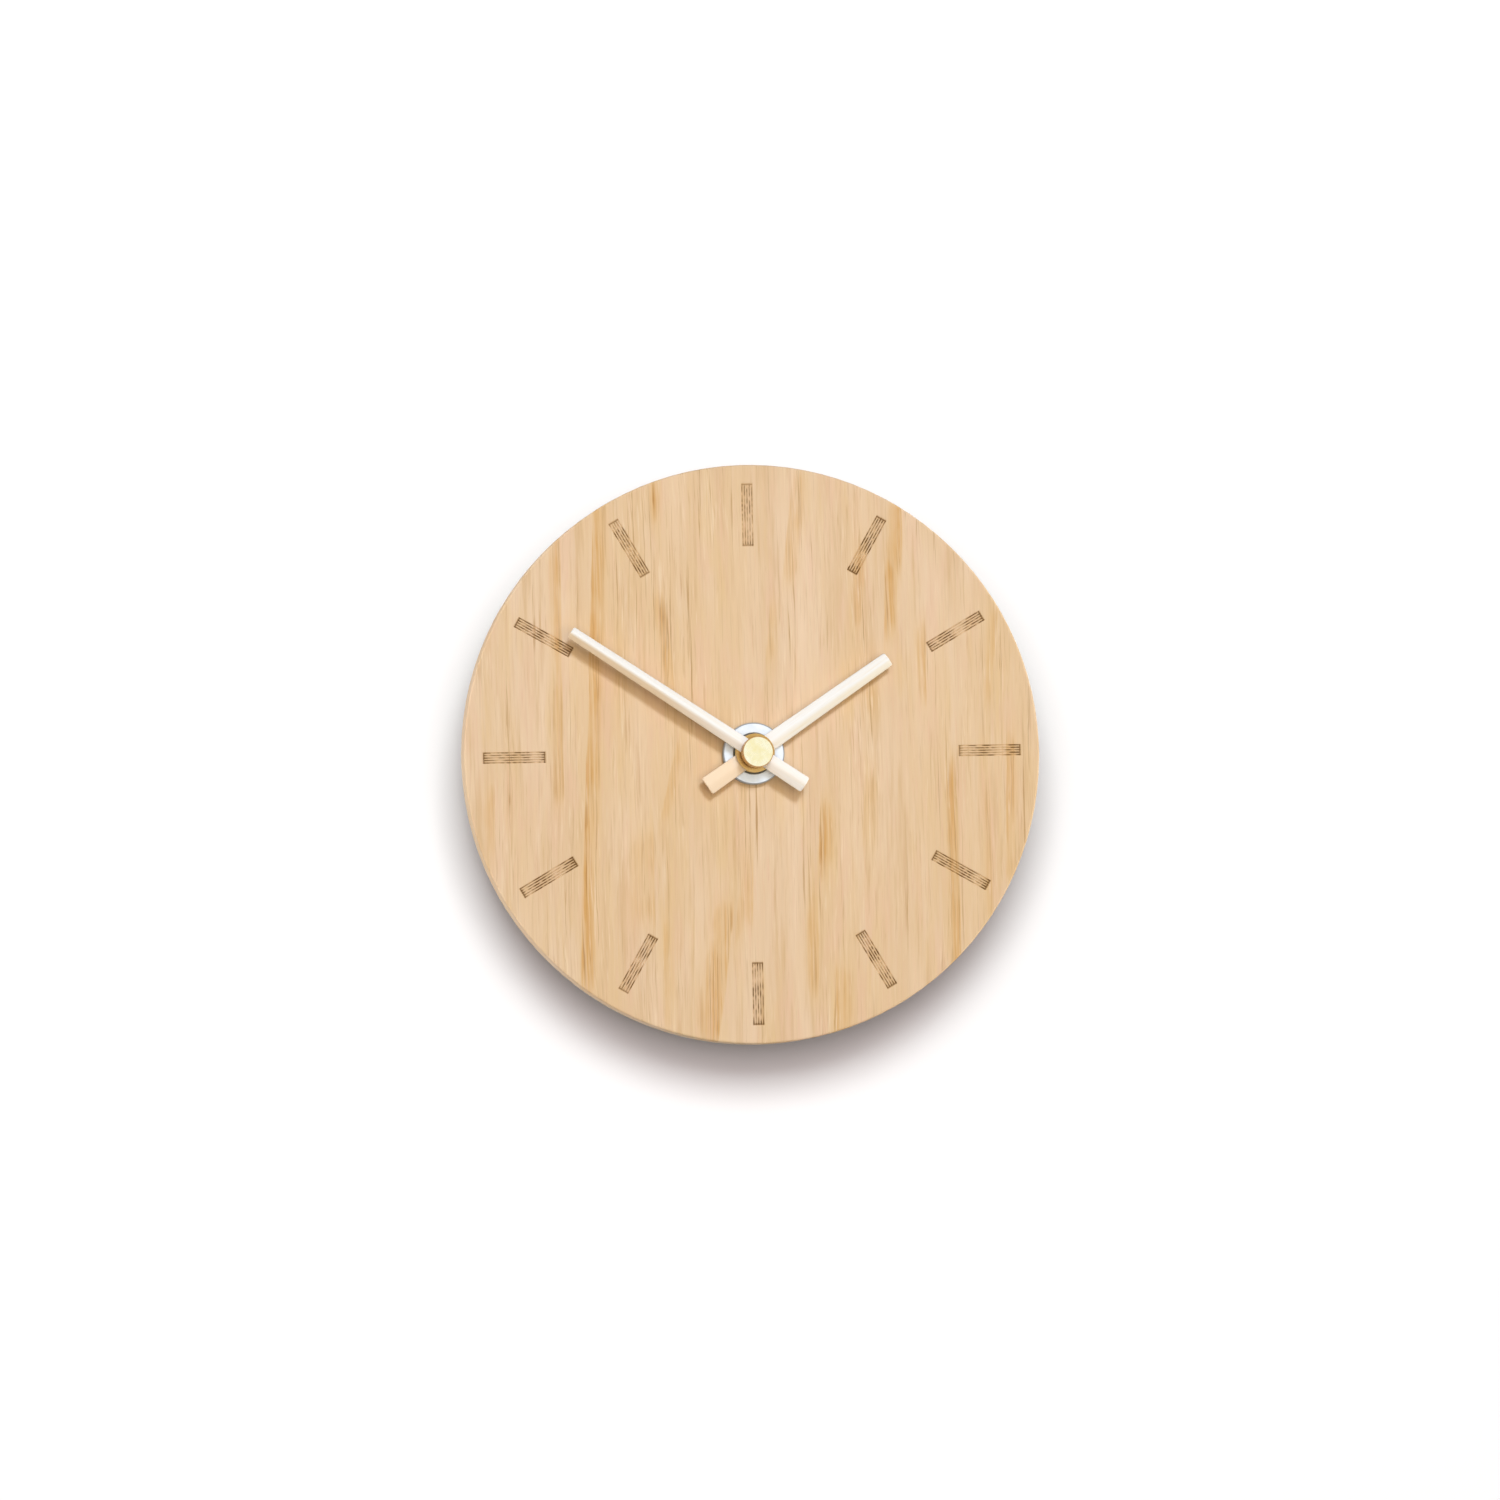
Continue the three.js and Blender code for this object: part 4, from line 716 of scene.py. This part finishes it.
def pale_stick(name, clock_angle, warm, lower, painted_shade_share, painted_shade_colour):
    """Pale straight wood with its grain along the hand. The piece is turned back to twelve
    o'clock, so that the grain runs along Z. The tail end is warmer by the share warm. The slope
    on the lower side (-1 or 1 across) is painted darker towards the tip, by the share given:
    painted shade for the shade that slope falls into under the lamps."""
    finish = Finish(name, Roughness=0.5, Specular_IOR_Level=0.4)
    at = finish.place(rotation=(0, -clock_angle, 0))
    broad = finish.noise(finish.scaled(at, (1 / 1.6, 1 / 1.6, 1 / 45)), 3.0, 0.55)
    colour = finish.ramp(broad, [
        (0.3, tint(249, 248, 245)), (0.5, tint(248, 245, 239)), (0.72, tint(245, 238, 224))])
    fibre = finish.noise(finish.scaled(at, (1 / 0.22, 1 / 0.22, 1 / 9)), 2.0, 0.5)
    colour = finish.mix(finish.range(fibre, 0.52, 0.75, 0, 0.3), colour, tint(237, 216, 184))
    along = finish.mark("along")
    # Painted shade: the lower slope is drawn towards a darker colour, more towards the tip
    slope = finish.range(finish.mark("across"), 0, 0.4 * lower, 0, painted_shade_share)
    slope = finish.maths("MULTIPLY", slope, finish.range(along, -15, 30, 0, 1))
    colour = finish.mix(slope, colour, painted_shade_colour)
    colour = finish.mix(finish.range(along, 6, -7, 0, warm), colour, tint(248, 219, 182))
    finish.use("Base Color", colour)
    finish.use("Roughness", finish.range(broad, 0.3, 0.7, 0.42, 0.58))
    finish.bump(fibre, 0.03, 0.4)
    return finish.material


def metal(name, colour, worn, roughness, metallic=1.0, lathe=False, side=None):
    """Metal with small shifts of colour and gloss. A lathe leaves fine rings round the axis.
    A piece's marked side may take a darker colour: painted reflection on the cap's side,
    painted shade on the nut's side and countersink."""
    finish = Finish(name, Metallic=metallic, Roughness=roughness)
    at = finish.place()
    cloud = finish.noise(finish.scaled(at, (0.4, 0.4, 0.4)), 3.0, 0.55)
    shade = finish.mix(finish.range(cloud, 0.35, 0.7, 0, 1), colour, worn)
    # The marked side is drawn to its darker colour here, the painted reflection and shade described
    # above
    if side:
        shade = finish.mix(finish.mark("side"), shade, side)
    finish.use("Base Color", shade)
    finish.use("Roughness", finish.range(cloud, 0.3, 0.7, roughness * 0.8, roughness * 1.25))
    if lathe:
        part = finish.parts(at)
        flat = finish.node("ShaderNodeCombineXYZ", {"X": part["X"], "Y": part["Z"]}).outputs[0]
        radius = finish.node("ShaderNodeVectorMath", {0: flat}, operation="LENGTH").outputs["Value"]
        ring = finish.node("ShaderNodeCombineXYZ", {"X": radius, "Y": part["Y"]}).outputs[0]
        finish.bump(finish.noise(finish.scaled(ring, (9, 9, 9)), 1.0, 0.5), 0.01, 0.25)
    else:
        finish.bump(finish.noise(finish.scaled(at, (6, 6, 6)), 2.0, 0.5), 0.008, 0.25)
    return finish.material


def moulded(name, colour, worn, roughness, texture):
    """Moulded plastic or rubber: a fine even spark texture and faint flow marks."""
    finish = Finish(name, Roughness=roughness, Specular_IOR_Level=0.45)
    at = finish.place()
    flow = finish.noise(finish.scaled(at, (0.12, 0.3, 0.12)), 3.0, 0.6)
    finish.use("Base Color", finish.mix(finish.range(flow, 0.35, 0.7, 0, 1), colour, worn))
    spark = finish.noise(finish.scaled(at, (7, 7, 7)), 2.0, 0.5)
    finish.use("Roughness", finish.range(flow, 0.3, 0.7, roughness * 0.9, roughness * 1.12))
    finish.bump(spark, texture, 0.5)
    return finish.material


def wire():
    """Fine enamelled wire: rings 0.12 mm apart along the coil, with painted shade darkening the
    grooves between the turns.
    """
    pitch = 0.12
    finish = Finish("coil_wire", Metallic=1.0, Roughness=0.35)
    z = finish.parts(finish.place())["Z"]
    turns = finish.maths("SINE", finish.maths("MULTIPLY", z, TURN / pitch), 0.0)
    # Painted shade: the colour darkens from each turn's crest into the groove between turns
    painted_crest_light = finish.range(turns, -1, 1, 0, 1)
    finish.use("Base Color", finish.mix(painted_crest_light, tint(122, 58, 26), tint(196, 112, 62)))
    finish.bump(turns, 0.03, 0.6)
    return finish.material


def board():
    """Green circuit board with straight tracks, from a stepped pattern of bricks."""
    finish = Finish("track_board", Roughness=0.42)
    inputs = {
        "Vector": finish.place(rotation=(math.pi / 2, 0, 0)), "Color1": tint(40, 98, 56),
        "Color2": tint(36, 88, 50), "Mortar": tint(66, 140, 82), "Scale": 0.45,
        "Mortar Size": 0.06, "Brick Width": 3.4, "Row Height": 0.8}
    tracks = finish.node("ShaderNodeTexBrick", inputs)
    finish.use("Base Color", tracks.outputs["Color"])
    finish.bump(tracks.outputs["Fac"], 0.03, 0.5)
    return finish.material


def sleeve():
    """The cell's printed film: slate blue with a pale band at the nub's end. Where the bare
    mark says, the can's own metal shows."""
    finish = Finish("cell_sleeve", Roughness=0.32)
    at = finish.place()
    film = finish.ramp(finish.range(finish.parts(at)["X"], -25, 25, 0, 1), [
        (0.0, tint(48, 62, 78)), (0.715, tint(50, 66, 84)), (0.72, tint(206, 210, 212)),
        (0.735, tint(206, 210, 212)), (0.74, tint(150, 158, 166)), (1.0, tint(156, 163, 170))])
    scuff = finish.noise(finish.scaled(at, (0.7, 2.5, 2.5)), 4.0, 0.6)
    film = finish.mix(finish.range(scuff, 0.6, 0.8, 0, 0.3), film, tint(176, 180, 184))
    bare = finish.mark("bare")
    finish.use("Base Color", finish.mix(bare, film, tint(198, 198, 194)))
    finish.use("Metallic", finish.range(bare, 0, 1, 0.15, 1.0))
    finish.use("Roughness", finish.range(scuff, 0.3, 0.7, 0.26, 0.4))
    finish.bump(scuff, 0.02, 0.3)
    return finish.material


# One finish for each slot, and one each for the cap and the minute hand
finishes = {
    "oak": oak(),
    # The last colour given to each hand is the painted shade on its lower slope
    "pale_wood": pale_stick(
        "pale_hour_wood", HOUR_ANGLE, warm=0.85, lower=1, painted_shade_share=0.4,
        painted_shade_colour=tint(238, 218, 168)),
    "minute_wood": pale_stick(
        "pale_minute_wood", MINUTE_ANGLE, warm=0.15, lower=-1, painted_shade_share=0.85,
        painted_shade_colour=tint(217, 189, 149)),
    "brass": metal("turned_brass", tint(216, 178, 110), tint(204, 162, 94), 0.28, lathe=True),
    # The cap's side colour is a painted reflection of darker surroundings
    "cap_brass": metal(
        "cap_brass", tint(255, 251, 222), tint(251, 239, 182), 0.26, lathe=True,
        side=tint(196, 146, 76)),
    # The zinc's side colour is painted shade on the nut's side and countersink
    "zinc": metal(
        "zinc_plate", tint(238, 246, 254), tint(222, 233, 246), 0.34, metallic=0.3, lathe=True,
        side=tint(162, 168, 174)),
    "steel": metal("bright_steel", tint(205, 207, 210), tint(184, 187, 192), 0.32),
    "magnet": metal("grey_magnet", tint(112, 114, 118), tint(92, 94, 98), 0.48),
    "copper": wire(),
    "rubber": moulded("black_rubber", tint(34, 34, 35), tint(44, 44, 45), 0.8, 0.03),
    "black_plastic": moulded("black_case", tint(36, 37, 40), tint(46, 47, 50), 0.46, 0.03),
    "white_plastic": moulded("white_wheel", tint(236, 234, 226), tint(224, 222, 212), 0.42, 0.015),
    "board": board(),
    "epoxy": moulded("black_epoxy", tint(30, 30, 32), tint(22, 22, 24), 0.35, 0.04),
    "battery_sleeve": sleeve(),
}
for part in frame["record"]["subparts"]:
    node = frame["nodes"][part["node"]]
    node.data.materials.clear()
    node.data.materials.append(finishes[part["material_slot"]])
dressed = [
    (dial, "oak"), (hour_hand, "pale_wood"), (minute_hand, "minute_wood"), (cap, "cap_brass"),
    (nut, "zinc"), (washer, "rubber"), (cell_can, "battery_sleeve"), (cell_nub, "steel"),
    *[(flange, "brass") for flange in flanges], *[(sign, "black_plastic") for sign in pole_marks]]
for piece, finish_name in dressed:
    piece.data.materials.append(finishes[finish_name])


# Wall, light and camera

# In metres: half the sheets' width, the floor's level, and the wall's place behind the clock
REACH, FLOOR_Z, WALL_Y = 3, -1.5, 0.0006


def sheet_of(name, corners, finish):
    """A flat stage sheet through four corners in metres."""
    mesh = bpy.data.meshes.new(name)
    mesh.from_pydata(corners, [], [(0, 1, 2, 3)])
    mesh.materials.append(finish)
    stage = bpy.data.objects.new(name, mesh)
    scene.collection.objects.link(stage)
    return stage


def wall_finish():
    """White paint on the side that faces the room, and nothing on the other side, so that the
    clock's back can be looked at through the wall."""
    finish = Finish(
        "white_wall", Base_Color=tint(250, 250, 250), Roughness=0.9, Specular_IOR_Level=0.1)
    behind = finish.node("ShaderNodeNewGeometry", {}).outputs["Backfacing"]
    finish.overlay(behind, finish.node("ShaderNodeBsdfTransparent", {}).outputs[0])
    return finish.material


def floor_finish():
    """Pale paint far below the clock, which the camera and mirrors see as plain white."""
    finish = Finish("pale_floor", Base_Color=tint(246, 246, 245), Roughness=0.8)
    glow = finish.node("ShaderNodeEmission", {"Color": grey(1), "Strength": 1.0}).outputs[0]
    finish.overlay(finish.seen(), glow)
    return finish.material


wall = sheet_of("wall", [
    (-REACH, WALL_Y, FLOOR_Z), (REACH, WALL_Y, FLOOR_Z), (REACH, WALL_Y, REACH),
    (-REACH, WALL_Y, REACH)], wall_finish())
wall.visible_shadow = wall.visible_diffuse = wall.visible_glossy = False
floor = sheet_of("floor", [
    (-REACH, -REACH, FLOOR_Z), (REACH, -REACH, FLOOR_Z), (REACH, REACH, FLOOR_Z),
    (-REACH, REACH, FLOOR_Z)], floor_finish())
floor.visible_diffuse = False

# A white room, which itself lights the clock only a little
world = bpy.data.worlds.new("studio")
scene.world = world
world.use_nodes = True
sky = Nodes(world.node_tree)
backdrop = sky.tree.nodes["Background"]
backdrop.inputs["Color"].default_value = grey(1)
sky.tree.links.new(sky.range(sky.seen(), 0, 1, 0.1, 1.0), backdrop.inputs["Strength"])


def receivers(name, things):
    """A collection of the objects that a lamp lights."""
    group = bpy.data.collections.new(name)
    for thing in things:
        group.objects.link(thing)
    return group


stage_things = [wall, floor]
clock_things = [
    thing for thing in scene.objects if thing.type == "MESH" and thing not in stage_things]
on_stage = receivers("lit_stage", stage_things)
on_clock = receivers("lit_clock", clock_things)


def softbox(name, place, width, height, share, lit, bounces=12, colour=(1, 1, 1)):
    """An area lamp aimed at the clock that the camera doesn't see. Its power gives the share
    of full light on a surface that faces the room: power = share pi^2 d^2 / cosine, where the
    cosine is that of the angle between the lamp's direction and the clock's axis."""
    least_cosine = 0.2
    away = Vector(place)
    cosine = max(abs(away.normalized().y), least_cosine)
    lamp = bpy.data.lights.new(name, "AREA")
    lamp.shape, lamp.size, lamp.size_y = "RECTANGLE", width, height
    lamp.energy = share * math.pi ** 2 * away.length_squared / cosine
    lamp.color = colour
    lamp.cycles.max_bounces = bounces
    made = bpy.data.objects.new(name, lamp)
    scene.collection.objects.link(made)
    made.location = away
    made.rotation_mode = "QUATERNION"
    made.rotation_quaternion = (-away).to_track_quat("-Z", "Y")
    made.visible_camera = made.visible_glossy = False
    made.light_linking.receiver_collection = lit


softbox("key_lamp", (0.32, -2.75, 1.27), width=0.5, height=0.5, share=0.52,
        lit=on_clock, bounces=2, colour=(0.63, 0.77, 1))
softbox("fill_lamp", (0.1, -2.8, 0.15), width=2.6, height=2.6, share=0.75,
        lit=on_clock, bounces=2, colour=(1, 0.858, 0.645))
softbox("high_wall_lamp", (-0.2, -3.0, 1.36), width=1.7, height=1.34, share=0.479,
        lit=on_stage, colour=(0.88, 1, 1))
softbox("broad_wall_lamp", (-0.25, -3.0, 0.54), width=3.15, height=2.31, share=0.828,
        lit=on_stage, colour=(1, 0.87, 0.86))
softbox("rear_lamp", (0.6, 2.6, 1.4), width=1.6, height=1.6, share=0.6, lit=on_clock, bounces=0)
for name, x in (("left_strip", -2.4), ("right_strip", 2.4)):
    softbox(name, (x, 0.16, -0.3), width=0.3, height=1.6, share=0.14, lit=on_clock, bounces=0)


def aim_camera(azimuth, elevation, roll, distance, aim, width):
    """A camera on a line from the aim, at an azimuth to the right and an elevation above it.
    Its lens shows the given width at that distance, and it is rolled about its own axis."""
    sensor = 36
    a, e = math.radians(azimuth), math.radians(elevation)
    away = Vector((math.sin(a) * math.cos(e), -math.cos(a) * math.cos(e), math.sin(e)))
    lens = bpy.data.cameras.new("camera")
    lens.sensor_width = sensor
    lens.lens = sensor * distance / width
    lens.clip_start, lens.clip_end = 0.05, 50
    made = bpy.data.objects.new("camera", lens)
    scene.collection.objects.link(made)
    turn = (-away).to_track_quat("-Z", "Y").to_matrix().to_4x4()
    turn = turn @ Matrix.Rotation(math.radians(roll), 4, "Z")
    made.matrix_world = Matrix.Translation(Vector(aim) + away * distance) @ turn
    scene.camera = made


aim_camera(azimuth=-7.4, elevation=-3.0, roll=-1.3, distance=2.6,
           aim=(-0.0007, -0.025, 0.00103), width=0.3878)
